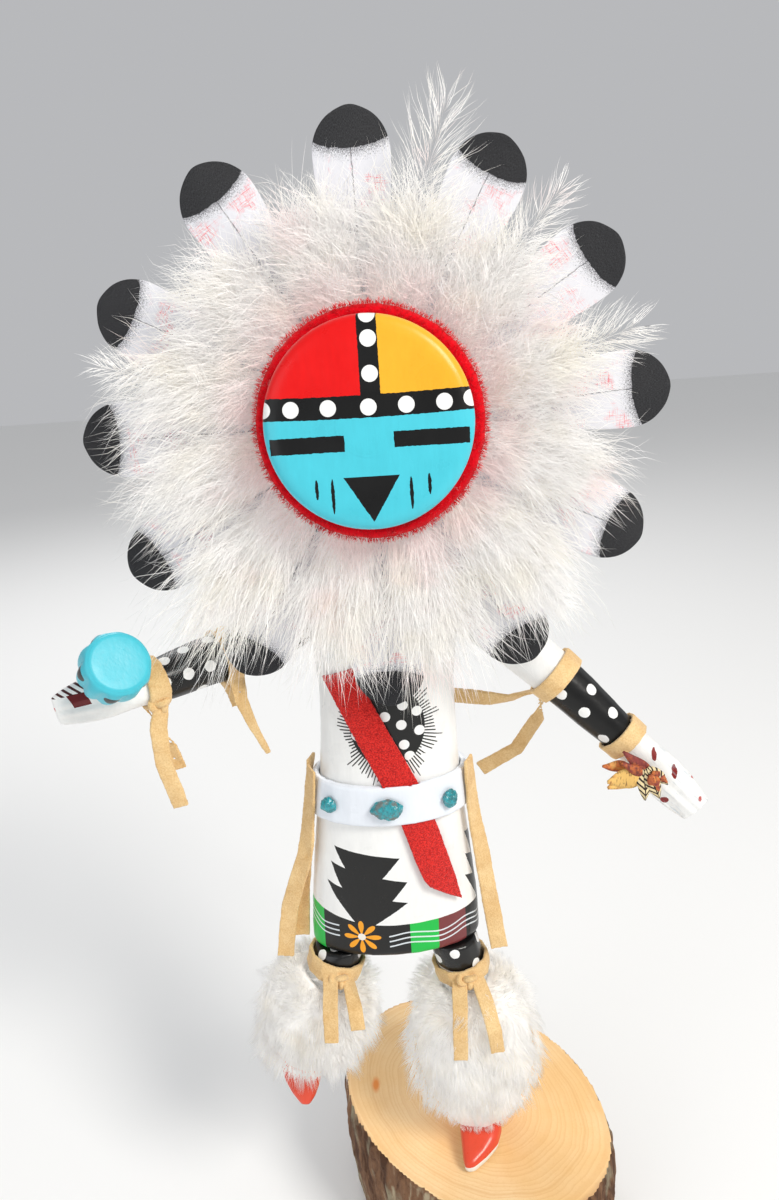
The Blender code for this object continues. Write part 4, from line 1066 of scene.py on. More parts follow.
def make_yarn_ring():
    """The yarn ring with its short pile."""
    rng = np.random.default_rng(11)
    core = carved_copy("red_yarn_ring", "yarn_core", 0.0013, 4)
    points, normals = mesh_arrays(core)
    centre = np.array(HEAD.translation)
    out = -np.array(HEAD.to_3x3().col[1])
    # The pile stands off the core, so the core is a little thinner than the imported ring
    set_points(core, points - normals * 0.0006)
    roots, facing = scatter(core, sizes().yarn_hairs, rng)
    away = unit(roots - centre)
    length = sizes().yarn_fuzz * rng.uniform(0.55, 1.25, len(roots))
    lean = unit(facing + 0.45 * rng.normal(size=roots.shape) + 0.15 * away - 0.1 * out)
    steps = np.array([0.0, 0.55, 1.0])
    paths = roots[:, None, :] + lean[:, None, :] * (steps[None, :] * length[:, None])[..., None]
    paths += 0.12 * rng.normal(size=paths.shape) * steps[None, :, None] * length[:, None, None]
    piece = hairy_piece("fuzzy_yarn_ring", core, [(paths, np.full(len(roots), YARN_RADIUS), 1.0)], rng)
    return finish_piece(piece, yarn_material(), "red_yarn", "red_yarn_ring")


# Halo

FEATHER_REACH = 0.088
SPOT_LENGTH = 0.0112
# The inner edge of a feather's black end bends towards the root at the feather's sides, in millimetres
SPOT_HALF_WIDTH = 12.2
SPOT_BEND = 5.0
QUILL_HALF_WIDTH = 0.17


def feather_frame(node):
    """The head's frame turned so that +Z runs along one feather or tuft."""
    local = HEAD.inverted() @ Vector(node_points(node).mean(axis=0))
    return HEAD @ Matrix.Rotation(math.atan2(local.x, local.z), 4, "Y")


def write_place_map(piece, matrix):
    """Stores how far across and along its own direction each corner lies, in the piece's place map."""
    points, _ = mesh_arrays(piece)
    local = carried(points, matrix.inverted())
    layer = piece.data.uv_layers.new(name="place")
    loops = np.empty(len(piece.data.loops), np.int32)
    piece.data.loops.foreach_get("vertex_index", loops)
    layer.data.foreach_set("uv", (local[loops][:, [0, 2]] / PLACE_UNIT).astype(np.float32).ravel())


def feather_material():
    """White feather boards: black round ends, ragged black and pink strokes, a dark quill line."""
    made, s, shader = start_material("feather_paint", Specular_IOR_Level=0.25)
    place = s.node("ShaderNodeUVMap", uv_map="place").outputs[0]
    across, along, _ = s.parts(s.vector("MULTIPLY", place, (PLACE_UNIT / MM, PLACE_UNIT / MM, 0)))
    edge = s.wobble(500.0, 1.1, 3.0)
    bend = s.math("SQRT", 1.0 - s.math("MINIMUM", (across / SPOT_HALF_WIDTH) ** 2.0, 1.0)) * SPOT_BEND
    spot_edge = (FEATHER_REACH - SPOT_LENGTH) / MM + SPOT_BEND - bend
    # How far a place lies past the edge of the black end, in millimetres
    beyond = along - spot_edge + edge
    grain = s.noise(s.vector("MULTIPLY", place, (26.0, 3.0, 1.0)), 26.0, 4.0, 0.6)
    fine = s.noise(s.vector("MULTIPLY", place, (60.0, 7.0, 1.0)), 24.0, 3.0, 0.6)
    body = s.mix(s.spread(grain, 0.40, 0.62, 0.0, 0.16), colours().feather, (0.55, 0.56, 0.62))

    rising = s.noise(s.mapped(place, rotation=(0, 0, 0.7), scale=(6.0, 190.0, 1.0)), 3.0, 2.0, 0.6)
    falling = s.noise(s.mapped(place, rotation=(0, 0, -0.5), scale=(190.0, 6.0, 1.0)), 3.0, 2.0, 0.6)
    scratch = s.either(s.spread(rising, 0.56, 0.62), s.spread(falling, 0.57, 0.63))
    patch = s.spread(s.noise(s.place(), 130.0, 2.0), 0.50, 0.60)
    pink = s.both(scratch, patch, s.spread(beyond, -24.0, -8.0), s.spread(beyond, -2.0, -3.4))
    body = s.mix(pink, body, (0.84, 0.06, 0.09))
    dashes = s.both(fine > s.spread(beyond, -4.2, 0.0, 0.66, 0.47), s.spread(beyond, -4.4, -4.0))
    body = s.mix(dashes, body, (0.05, 0.05, 0.06))
    quill = s.both(abs(across + edge * 0.6) < QUILL_HALF_WIDTH, grain > 0.42)
    body = s.mix(quill * 0.7, body, (0.06, 0.06, 0.07))
    # The black ends carry paler grey streaks: partly the wood's grain, partly painted sheen that greys the
    # black
    dark = s.mix(s.spread(fine, 0.40, 0.70), (0.006, 0.006, 0.007), (0.055, 0.056, 0.062))
    s.set(shader, Base_Color=s.mix(beyond > 0.0, body, dark),
          Roughness=s.spread(grain, 0.3, 0.7, 0.62, 0.45), Normal=s.bump(fine + grain, 0.45, 0.0003))
    return made


def make_feathers():
    """Twelve thin boards with softened edges, a little uneven as hand-cut ones are."""
    material = feather_material()
    made = []
    for i, node in enumerate(FEATHERS):
        piece = copy_node(node, f"painted_feather_{i + 1:02d}")
        apply_modifier(piece, "BEVEL", width=0.00035, segments=2, limit_method="ANGLE",
                       angle_limit=math.radians(50))
        apply_modifier(piece, "SUBSURF", levels=2, render_levels=2)
        roughen(piece, 0.00022, 0.016, 9.0 + i)
        piece.data.shade_smooth()
        write_place_map(piece, feather_frame(node))
        made.append(finish_piece(piece, material, "feather_paint", node))
    return made


def down_material():
    """White down with painted grey shade between its barbs, a pink tint near the red yarn and some cream
    patches.
    """
    # Light passes through down, so it is never quite dark: a faint glow stands for that
    made, s, shader = start_material("white_down", Roughness=0.8, Sheen_Weight=0.2, Specular_IOR_Level=0.3,
                                     Emission_Color=(1.0, 0.97, 0.95, 1.0), Emission_Strength=0.17)
    shades = colours()
    x, _, z = s.parts(s.in_frame(HEAD, 1 / MM))
    reach = s.reach(x, z)
    cloud = s.spread(s.noise(s.place(), 70.0), 0.46, 0.70, 0.0, 0.5)
    cream = s.mix(cloud, shades.down, (0.95, 0.90, 0.74))
    patches = s.spread(s.noise(s.place(), 95.0, 2.0), 0.36, 0.58, 0.3, 1.0)
    near = s.both(s.spread(reach, 31.0, 48.0, 0.7, 0.0), patches)
    far = s.spread(s.noise(s.place(), 60.0, 2.0), 0.58, 0.70, 0.0, 0.30)
    body = s.mix(s.either(near, far), cream, shades.blush)
    # Painted shade greys the depth between the barbs, on the core and the barbs' roots, streaked by fine
    # strands that run outwards
    polar = s.joined(s.math("ARCTAN2", x, z) * 42.0, reach * 0.20)
    strands = s.noise(polar, 2.2, 4.0, 0.65, 0.9)
    depth = 1.0 - s.spread(s.attribute("along"), 0.0, 0.3)
    body = s.mix(depth * s.spread(strands, 0.40, 0.62, 0.75, 0.15), body, (0.64, 0.59, 0.57))
    # Each barb's tone greys it, partly at random and partly as painted shade: the core and the fluff under
    # the long barbs get greyer tones
    body = s.mix(s.attribute("tone") * 0.55, body, (0.78, 0.74, 0.72))
    s.set(shader, Base_Color=body, Normal=s.bump(strands, 0.5, 0.0006))
    return made


# How much of a tuft's packed length its soft core takes
CORE_SHARE = 0.82
# Plumes of down that stand out of the halo: tuft, lean in the halo's plane (degrees), reach, barb length
LONG_PLUMES = ((0, 5.0, 0.0860, 0.0140), (1, -4.0, 0.0800, 0.0110), (2, -3.0, 0.0790, 0.0120),
               (4, 4.0, 0.0760, 0.0110), (9, 0.0, 0.0780, 0.0100))
LONG_PLUME_BARBS = 130
WISPS_PER_TUFT = 130
BARB_DROOP = 0.30
# How far each tuft's barbs reach beside a usual barb, from the top one round by the doll's left
TUFT_REACHES = (1.0, 1.0, 1.0, 1.15, 1.25, 1.2, 1.05, 1.55, 1.25, 1.35, 1.1, 1.0)
# Where the points of a hair stand along it
BARB_STEPS = np.array([0.0, 0.24, 0.50, 0.77, 1.0])
FLUFF_STEPS = np.array([0.0, 0.36, 0.70, 1.0])


def curved_paths(rng, roots, ways, lengths, curl, steps):
    """Paths from roots along ways that wind a little as they go, more where curl is larger."""
    first = unit(np.cross(ways, rng.normal(size=ways.shape)))
    second = np.cross(ways, first)
    turn = rng.uniform(0, 2 * math.pi, len(roots))[:, None] + 3.4 * steps[None, :]
    swing = (np.sin(turn) - np.sin(turn[:, :1]))[..., None] * first[:, None, :]
    swing += (np.cos(turn) - np.cos(turn[:, :1]))[..., None] * second[:, None, :]
    straight = ways[:, None, :] * steps[None, :, None]
    return roots[:, None, :] + (straight + swing * np.asarray(curl)[:, None, None]) * lengths[:, None, None]


def long_plume(rng, matrix, start, reach, lean, lift, length, count):
    """Barbs on both sides of one long shaft, in a tuft's own frame, and the shaft as a last path."""
    def on_shaft(t):
        height = lift * np.sin(np.pi * np.clip(t * 0.85 + 0.1, 0, 1))
        return np.stack([math.sin(lean) * (reach - start) * t, -height,
                         (start + (reach - start) * t) * math.cos(lean)], axis=1)

    t = np.sort(rng.random(count)) ** 0.8
    side = np.where(rng.random(count) < 0.5, -1.0, 1.0)
    # Barbs stand wide at the shaft's root and close up towards its end
    angle = np.radians(64 - 38 * t + rng.normal(0, 7, count)) * side + lean
    tilt = rng.normal(0.08, 0.22, count)
    ways = unit(np.stack([np.sin(angle), -np.sin(tilt), np.cos(angle)], axis=1))
    lengths = length * (0.50 + 0.70 * np.sin(np.pi * np.clip(t * 0.8 + 0.15, 0, 1)))
    lengths = lengths * rng.uniform(0.75, 1.1, count)
    paths = curved_paths(rng, on_shaft(t), ways, lengths, np.full(count, 0.09), BARB_STEPS)
    paths[:, :, 2] += 0.22 * (BARB_STEPS ** 2)[None, :] * lengths[:, None]
    return carried(np.concatenate([paths, on_shaft(BARB_STEPS * 0.96)[None]]), matrix)


def wisps(rng, core, matrix, count, long):
    """Single thin hairs that leave the end of a tuft and bend aside."""
    turn, inverse = np.array(matrix)[:3, :3].T, matrix.inverted()

    def near_end(centres, facing):
        along = carried(centres, inverse)[:, 2]
        return (along > along.min() + 0.55 * (along.max() - along.min())).astype(float)

    roots, facing = scatter(core, count, rng, near_end)
    local = carried(roots, inverse)
    bend = rng.choice((-1.0, 1.0), count) * rng.uniform(0.1, 0.9, count)
    flow = np.stack([local[:, 0] * 16 + rng.normal(0, 0.30, count), rng.normal(-0.15, 0.15, count),
                     np.ones(count)], axis=1)
    ways = unit(unit(flow) @ turn + 0.25 * facing)
    aside = np.stack([bend, np.full(count, 0.0), -0.4 * np.abs(bend)], axis=1) @ turn
    lengths = long * rng.uniform(0.6, 1.0, count)
    paths = curved_paths(rng, roots, ways, lengths, np.full(count, 0.04), BARB_STEPS)
    return paths + (BARB_STEPS ** 2)[None, :, None] * (0.55 * lengths)[:, None, None] * aside[:, None, :]


def tuft_hairs(rng, core, matrix, count, long, fluff):
    """Barbs that grow from a tuft's core: long ones fan out of its plumes, fluff is short and crooked."""
    forward = np.array(matrix)
    out = -forward[:3, 1]
    roots, facing = scatter(core, count, rng, lambda centres, sides: np.clip(0.30 + sides @ out, 0.03, 1.0))
    local = carried(roots, matrix.inverted())
    low, high = local[:, 2].min(), local[:, 2].max()
    share = (local[:, 2] - low) / (high - low)
    # Each barb turns away from the line of the plume that is nearest to it
    plumes = local[rng.choice(count, size=sizes().plumes_per_tuft, replace=False)]
    gaps = local[:, None, :] - plumes[None]
    mine = np.argmin(np.linalg.norm(gaps * np.array([1.0, 1.0, 0.5]), axis=2), axis=1)
    aside = np.tanh(gaps[np.arange(count), mine, 0] / 0.0035)
    own = rng.normal(0, 0.16, len(plumes))[mine]
    swirl = swirls(roots, 120)
    # Tufts at the top of the halo curl more than those that hang
    curly = 0.5 + 0.5 * forward[2, 2]
    least_lift, most_lift, spread, scatter_by = (0.3, 1.1, 0.55, 0.40) if fluff else (0.15, 0.55, 0.34, 0.10)
    flow = np.stack([local[:, 0] * 12 + own + aside * spread + (0.45 + 0.5 * curly) * swirl[:, 0],
                     -0.12 - 0.25 * rng.random(count), 1.0 + 0.4 * swirl[:, 2]], axis=1)
    lift = rng.uniform(least_lift, most_lift, count)
    ways = flow @ forward[:3, :3].T + facing * lift[:, None]
    ways = unit(ways + rng.normal(0, scatter_by, ways.shape))
    lengths = long * rng.uniform(0.55, 1.15, count)
    if fluff:
        return curved_paths(rng, roots, ways, lengths, np.full(count, 0.16 + 0.12 * curly), FLUFF_STEPS)
    lengths *= 0.70 + 0.40 * share
    curl = (0.05 + 0.14 * curly) * rng.uniform(0.3, 1.7, count)
    paths = curved_paths(rng, roots, ways, lengths, curl, BARB_STEPS)
    fall = BARB_DROOP * (BARB_STEPS ** 2)[None, :] * lengths[:, None]
    paths[:, :, 2] -= fall * rng.uniform(0.2, 1.3, count)[:, None]
    return paths


def make_down():
    """Twelve tufts, each a soft core with short fluff and long barbs that fan out of its plumes."""
    material = down_material()
    chosen = sizes()
    made = []
    for i, node in enumerate(PLUMES):
        rng = np.random.default_rng(100 + i)
        matrix = feather_frame(node)
        local = carried(node_points(node), matrix.inverted())
        start = local[:, 2].min()
        front, back = -local[:, 1].min(), -local[:, 1].max()

        core = carved_copy(node, "down_core", 0.0012, 10)
        points, _ = mesh_arrays(core)
        placed = carried(points, matrix.inverted())
        placed[:, 2] = start + (placed[:, 2] - start) * min(CORE_SHARE * TUFT_REACHES[i] ** 0.3, 1.0)
        placed[:, 0] *= 0.97
        placed[:, 1] = -back + (placed[:, 1] + back) * 0.70
        set_points(core, carried(placed, matrix))
        roughen(core, 0.0012, 0.006, 20.0 + i)

        usual, radius = chosen.barb_length, chosen.barb_radius
        long = tuft_hairs(rng, core, matrix, chosen.barbs_per_tuft, usual * TUFT_REACHES[i], False)
        extra = [
            long_plume(rng, matrix, start + 0.02, far, math.radians(lean), front, length, LONG_PLUME_BARBS)
            for tuft, lean, far, length in LONG_PLUMES if tuft == i
        ]
        long = np.concatenate([long, *extra])
        fluff = tuft_hairs(rng, core, matrix, chosen.fluff_per_tuft, usual * 0.46, True)
        thin = wisps(rng, core, matrix, WISPS_PER_TUFT, usual * 1.5)
        # The last number of each group is its greatest tone: the fluff under the long barbs gets the greyest,
        # which paints shade into the down
        groups = [(long, radius * rng.uniform(0.7, 1.45, len(long)), 0.25),
                  (thin, radius * rng.uniform(0.7, 0.9, len(thin)), 0.1),
                  (fluff, radius * rng.uniform(0.8, 1.4, len(fluff)), 0.8)]
        piece = hairy_piece(f"down_tuft_{i + 1:02d}", core, groups, rng)
        made.append(finish_piece(piece, material, "white_down", node))
    return made


# Arms and legs


def past(s, mark):
    """How far a place lies past a mark on a limb, towards its end, in metres."""
    point, way = mark
    return s.vector("DOT_PRODUCT", s.vector("SUBTRACT", s.place(), point), way.normalized())


def dotted(s, ground):
    """White dots on a painted ground, where the dots' own map puts them."""
    distance = s.attribute("dot_distance") + s.wobble(800.0, 0.0004)
    return s.mix(distance < sizes().dot_radius, ground, colours().white)


def hand_axes(s, mark):
    """Places on a hand in millimetres: past the wrist, and across towards the back of the doll's hand."""
    point, way = mark
    way = way.normalized()
    side = Vector((0, -1, 0)).cross(way).normalized()
    away = s.vector("SUBTRACT", s.place(), point)
    return [s.vector("DOT_PRODUCT", away, axis) * (1 / MM) for axis in (way, side)]


# Marks on the left hand's front, millimetres: to the doll's left, up, half width, half height
DARK_HAND_MARKS = ((62.7, 222.8, 0.85, 2.0), (69.1, 216.8, 0.95, 2.3), (66.2, 206.5, 1.25, 1.25))
PALE_HAND_MARKS = ((64.8, 227.8, 0.8, 0.4), (68.2, 225.7, 0.7, 0.8), (71.5, 222.9, 0.8, 0.7),
                   (75.8, 214.0, 0.8, 0.7), (77.5, 206.7, 0.6, 0.9), (77.4, 201.4, 0.6, 0.5))
# The cut between the fingers, from and to, as places to the doll's left and up
FINGER_LINE = ((0.0597, 0.2123), (0.0722, 0.1999))


def beside_line(x, z, line):
    """How far places lie beside a line on the hand's front, and 1 where they lie along it."""
    (x0, z0), (x1, z1) = line
    long = math.hypot(x1 - x0, z1 - z0)
    ux, uz = (x1 - x0) / long, (z1 - z0) / long
    return (x - x0) * uz - (z - z0) * ux, ((x - x0) * ux + (z - z0) * uz) / long


def cut_finger_line(piece):
    """A shallow cut between two fingers of the left hand."""
    points, normals = mesh_arrays(piece)
    beside, along = beside_line(points[:, 0], points[:, 2], FINGER_LINE)
    deep = np.clip(1 - np.abs(beside) / 0.0011, 0, 1) * ((along > 0) & (along < 1)) * (normals[:, 1] < -0.2)
    set_points(piece, points - normals * (deep * 0.0007)[:, None])


def left_arm_paint(s):
    """White sleeve, black dotted forearm, white hand with dark red marks and bluish streaks."""
    shades = colours()
    sleeve = past(s, LEFT_SLEEVE_END) < 0.0
    hand = past(s, LEFT_WRIST) > 0.0
    base = s.mix(s.either(sleeve, hand), dotted(s, shades.black), shades.white)
    x, y, z = s.parts(s.place())
    front = s.both(hand, y < LEFT_WRIST[0].y)
    wobble = s.wobble(900.0, 0.9)
    u, v = x * (1 / MM) + wobble, z * (1 / MM) + wobble
    for rows, tint in ((DARK_HAND_MARKS, (0.23, 0.018, 0.016)), (PALE_HAND_MARKS, (0.55, 0.12, 0.11))):
        marks = s.either(*[s.oval(u, v, mark[:2], mark[2:]) for mark in rows])
        base = s.mix(s.both(front, marks), base, tint)
    along, across = hand_axes(s, LEFT_WRIST)
    lines = s.spread(s.noise(s.joined(across * 0.9, along * 0.10), 1.6, 3.0, 0.6), 0.54, 0.68)
    return s.mix(s.both(hand, lines * 0.45), base, (0.42, 0.50, 0.56))


def right_arm_paint(s):
    """Black dotted arm, white hand with a maroon patch, dark strokes and a red finger end."""
    shades = colours()
    hand = past(s, RIGHT_WRIST) > 0.0
    base = s.mix(hand, dotted(s, shades.black), shades.white)
    along, across = hand_axes(s, RIGHT_WRIST)
    patch = s.both(hand, s.between(along + across * 0.3, 16.6, 21.4), s.between(across, -4.8, -0.8))
    slant = s.math("FRACT", (along + across * 0.9) * 0.42)
    strokes = s.both(hand, slant < 0.42, across < -4.6, along > 13.0)
    base = s.mix(patch, base, (0.15, 0.010, 0.012))
    base = s.mix(strokes, base, (0.06, 0.012, 0.014))
    end = s.both(hand, along > 26.4, across > -2.0)
    return s.mix(end, base, (0.62, 0.06, 0.05))


# Dots that show on the front of the arms, millimetres
LEFT_ARM_DOTS = ((36.5, -19.7, 252.2), (43.2, -21.3, 245.5), (33.1, -22.3, 244.8), (40.3, -23.9, 238.7),
                 (49.8, -23.2, 237.6))
RIGHT_ARM_DOTS = ((-86.1, -20.8, 268.9), (-91.2, -26.2, 267.8), (-83.9, -26.8, 263.1), (-90.3, -31.3, 262.4),
                  (-77.8, -22.5, 263.4))


def make_arms():
    """Both carved arms with painted dots."""
    made = []
    rows = (("left_arm", left_arm_paint, LEFT_ARM_DOTS, 31),
            ("right_arm", right_arm_paint, RIGHT_ARM_DOTS, 47))
    for node, painted, seen, seed in rows:
        piece = carved_copy(node, f"painted_{node}", 0.00075, 7)
        if node == "left_arm":
            cut_finger_line(piece)
        dots_on(piece, sizes().dot_spacing, seed, seen)
        material = paint_material(f"{node}_paint", painted, wear=0.5, Coat_Weight=0.15, Coat_Roughness=0.25)
        made.append(finish_piece(piece, material, "black_dotted_paint", node))
    return made


SOLE_HEIGHT = 0.0036
MOCCASIN_HEIGHT = 0.0150


def leg_paint(foot_axes, tie_height):
    """Paints one leg: a black dotted knee, a white shin, a red moccasin with a white sole."""
    def painted(s):
        shades = colours()
        height = s.parts(s.place())[2]
        up = s.parts(s.in_frame(foot_axes))[2]
        base = s.mix(height < tie_height, dotted(s, shades.black), shades.white)
        base = s.mix(up < MOCCASIN_HEIGHT, base, shades.moccasin)
        return s.mix(up < SOLE_HEIGHT, base, shades.white)
    return painted


# Dots that show on the front of the knees, millimetres, and the height of the paint's lower edge
LEFT_KNEE_DOTS = ((-5.3, -19.1, 142.4),)
RIGHT_KNEE_DOTS = ((-48.9, -13.8, 144.7), (-53.7, -15.5, 143.5))
LEFT_TIE_HEIGHT = 0.1345
RIGHT_TIE_HEIGHT = 0.1365


def foot_frame(node):
    """Origin on the sole of a leg's moccasin, +Z out of its top. The sole is the node's lowest flat side."""
    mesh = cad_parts[node].data
    lowest = min(vert.co.z for vert in mesh.vertices)
    sums = {}
    for face in mesh.polygons:
        if face.normal.z < -0.5 and face.center.z < lowest + 0.03:
            key = tuple(round(value, 1) for value in face.normal)
            area, normal, centre = sums.get(key, (0.0, Vector(), Vector()))
            sums[key] = (area + face.area, normal + face.normal * face.area,
                         centre + face.center * face.area)
    area, normal, centre = max(sums.values(), key=lambda row: row[0])
    up = -normal.normalized()
    turn = up.to_track_quat("Z", "Y").to_matrix().to_4x4()
    return Matrix.Translation(centre / area) @ turn


def make_legs():
    """Both legs with their moccasins."""
    made = []
    rows = (("left_leg", LEFT_KNEE_DOTS, LEFT_TIE_HEIGHT, 5),
            ("right_leg", RIGHT_KNEE_DOTS, RIGHT_TIE_HEIGHT, 8))
    for node, seen, tie_height, seed in rows:
        piece = carved_copy(node, f"painted_{node}", 0.0008, 6)
        dots_on(piece, sizes().dot_spacing, seed, seen)
        material = paint_material(f"{node}_paint", leg_paint(foot_frame(node), tie_height), wear=0.4,
                                  Coat_Weight=0.4, Coat_Roughness=0.15)
        made.append(finish_piece(piece, material, "leg_paint", node))
    return made


def fur_material(node, foot):
    """White fur, tinted pink by the paint near the moccasin, greyed by painted shade towards the hairs' roots
    and lit by a faint painted glow.
    """
    # The fur is given a faint glow of its own: painted light, as the fur is no lamp
    made, s, shader = start_material(f"white_fur_{node}", Roughness=0.8, Sheen_Weight=0.3,
                                     Specular_IOR_Level=0.3, Emission_Color=(1.0, 0.97, 0.93, 1.0),
                                     Emission_Strength=0.11)
    shades = colours()
    cloud = s.spread(s.noise(s.place(), 90.0), 0.48, 0.70, 0.0, 0.5)
    body = s.mix(cloud, shades.fur, (0.90, 0.82, 0.68))
    reach = s.vector("LENGTH", s.vector("SUBTRACT", s.place(), foot))
    body = s.mix(s.spread(reach, 0.006, 0.016, 0.75, 0.0), body, shades.blush)
    # Painted shade: the hairs grey towards their roots and the core, more where a hair's random tone is
    # higher
    depth = 1.0 - s.spread(s.attribute("along"), 0.0, 0.5)
    s.set(shader, Base_Color=s.mix(depth * (s.attribute("tone") * 0.40), body, (0.74, 0.70, 0.66)))
    return made


def make_boots():
    """Two sleeves of long fur that falls over the moccasins in soft locks."""
    made = []
    for node, seed in (("left_fur_boot", 61), ("right_fur_boot", 62)):
        rng = np.random.default_rng(seed)
        core = carved_copy(node, f"{node}_core", 0.0015, 4)
        points, normals = mesh_arrays(core)
        set_points(core, points - normals * 0.0008)
        roughen(core, 0.0010, 0.008, float(seed))
        points, _ = mesh_arrays(core)
        low, high = points[:, 2].min(), points[:, 2].max()
        top = points[points[:, 2] > high - 0.25 * (high - low)].mean(axis=0)
        bottom = points[points[:, 2] < low + 0.25 * (high - low)].mean(axis=0)
        fall = unit(bottom - top)

        def outside(centres, facing):
            along = (centres - top) @ fall
            away = centres - top - along[:, None] * fall
            rim = (along < 0.12 * np.linalg.norm(bottom - top)) & (facing @ fall < -0.3)
            return (((facing * unit(away)).sum(axis=1) > 0.15) | rim) * (1.0 + 1.5 * rim)

        roots, facing = scatter(core, sizes().fur_hairs, rng, outside)
        share = np.clip(((roots - top) @ fall) / np.linalg.norm(bottom - top), -0.3, 1.3)
        length = sizes().fur_length * rng.uniform(0.60, 1.20, len(roots)) * (0.80 + 0.25 * share)
        length *= np.clip((1.06 - share) / 0.40, 0.25, 1.0)
        # The top hairs stand up round the knee's tie
        climb = np.clip(1.0 - share / 0.16, 0.0, 1.0)
        swirl = swirls(roots, 85)
        flat = facing - (facing @ fall)[:, None] * fall
        way = unit(0.60 * unit(flat) + (0.55 + 0.35 * share - 1.25 * climb)[:, None] * fall + 0.55 * swirl
                   + 0.18 * rng.normal(size=roots.shape))
        steps = np.array([0.0, 0.5, 1.0])
        droop = np.array([0, 0, -0.28])
        paths = roots[:, None, :] + (way[:, None, :] * steps[None, :, None]
                                     + droop * (steps ** 2)[None, :, None]) * length[:, None, None]
        # Hairs gather in locks: each leans towards the end of the nearest leader's hair
        leaders = rng.choice(len(roots), size=len(roots) // 22, replace=False)
        nearest = np.empty(len(roots), np.int64)
        for start in range(0, len(roots), 1000):
            gaps = np.linalg.norm(roots[start:start + 1000, None, :] - roots[leaders][None], axis=2)
            nearest[start:start + 1000] = leaders[gaps.argmin(axis=1)]
        pull = rng.uniform(0.30, 0.85, len(roots))[:, None, None] * (steps ** 2)[None, :, None]
        paths = paths * (1 - pull) + paths[nearest] * pull
        radius = sizes().fur_radius * rng.uniform(0.6, 1.25, len(roots))
        piece = hairy_piece(f"long_{node}", core, [(paths, radius, 1.0)], rng)
        foot = foot_frame(node.replace("_fur_boot", "_leg"))
        toe = foot.translation + foot.to_3x3().col[2] * 0.010
        made.append(finish_piece(piece, fur_material(node, toe), "white_fur", node))
    return made


# Suede


def suede_material(name, light, dark, grain_scale, grain_share, depth):
    """Napped leather, light where the nap stands and dark where it lies down."""
    made, s, shader = start_material(name, Roughness=0.92, Sheen_Weight=0.25, Specular_IOR_Level=0.15)
    nap = s.use(nap_group(), Vector=s.place(), Light=(*light, 1.0), Dark=(*dark, 1.0),
                Grain_Scale=grain_scale, Grain_Share=grain_share)
    s.set(shader, Base_Color=nap["Colour"], Normal=s.bump(nap["Height"], 0.8, depth))
    return made


def make_sash():
    """The red suede sash, its nap raised in a coarse grain."""
    piece = carved_copy("red_sash", "red_suede_sash", sizes().suede_voxel, 2, 0.5)
    roughen(piece, 0.00012, 0.0011, 2.0)
    material = suede_material("red_suede", colours().sash, (0.38, 0.003, 0.003), 2100.0, 0.85, 0.0006)
    return finish_piece(piece, material, "red_suede", "red_sash")


def knot_piece(place, facing, width):
    """A small overhand knot of flat suede, made along a three-lobed line."""
    facing = Vector(facing).normalized()
    turn = facing.to_track_quat("Z", "Y").to_matrix().to_4x4()
    curve = bpy.data.curves.new("knot", "CURVE")
    curve.dimensions = "3D"
    spline = curve.splines.new("NURBS")
    steps = 24
    spline.points.add(steps - 1)
    for i in range(steps):
        t = 2 * math.pi * i / steps
        x = (math.sin(t) + 2 * math.sin(2 * t)) / 3
        y = (math.cos(t) - 2 * math.cos(2 * t)) / 3
        z = -math.sin(3 * t) * 0.45
        spline.points[i].co = (x * width * 0.36, y * width * 0.30, z * width * 0.34, 1.0)
    spline.use_cyclic_u = True
    spline.order_u = 4
    curve.bevel_depth = width * 0.13
    curve.bevel_resolution = 2
    curve.resolution_u = 3
    made = new_object("knot", curve)
    take(made)
    bpy.ops.object.convert(target="MESH")
    made = bpy.context.object
    made.data.transform(Matrix.Translation(place) @ turn)
    return made


SUEDE_NODES = ("left_arm_tie", "left_knee_tie", "left_side_strap", "left_wrist_band", "right_elbow_tie",
               "right_inner_side_strap", "right_knee_tie", "right_outer_side_strap", "right_wrist_tie")


def make_suede():
    """Straps, bands and ties of tan suede, with their knots."""
    light = colours().suede
    dark = tuple(value * share for value, share in zip(light, (0.74, 0.62, 0.48)))
    material = suede_material("tan_suede", light, dark, 1900.0, 0.4, 0.00035)
    made = []
    for i, node in enumerate(SUEDE_NODES):
        piece = carved_copy(node, f"suede_{node}", sizes().suede_voxel, 1, 0.30)
        roughen(piece, 0.00015, 0.006, 40.0 + i)
        if node in KNOTS:
            knot = knot_piece(*KNOTS[node])
            knot.data.shade_smooth()
            take(piece, knot)
            bpy.ops.object.join()
        made.append(finish_piece(piece, material, "tan_suede", node))
    return made


# The bundle under the left hand

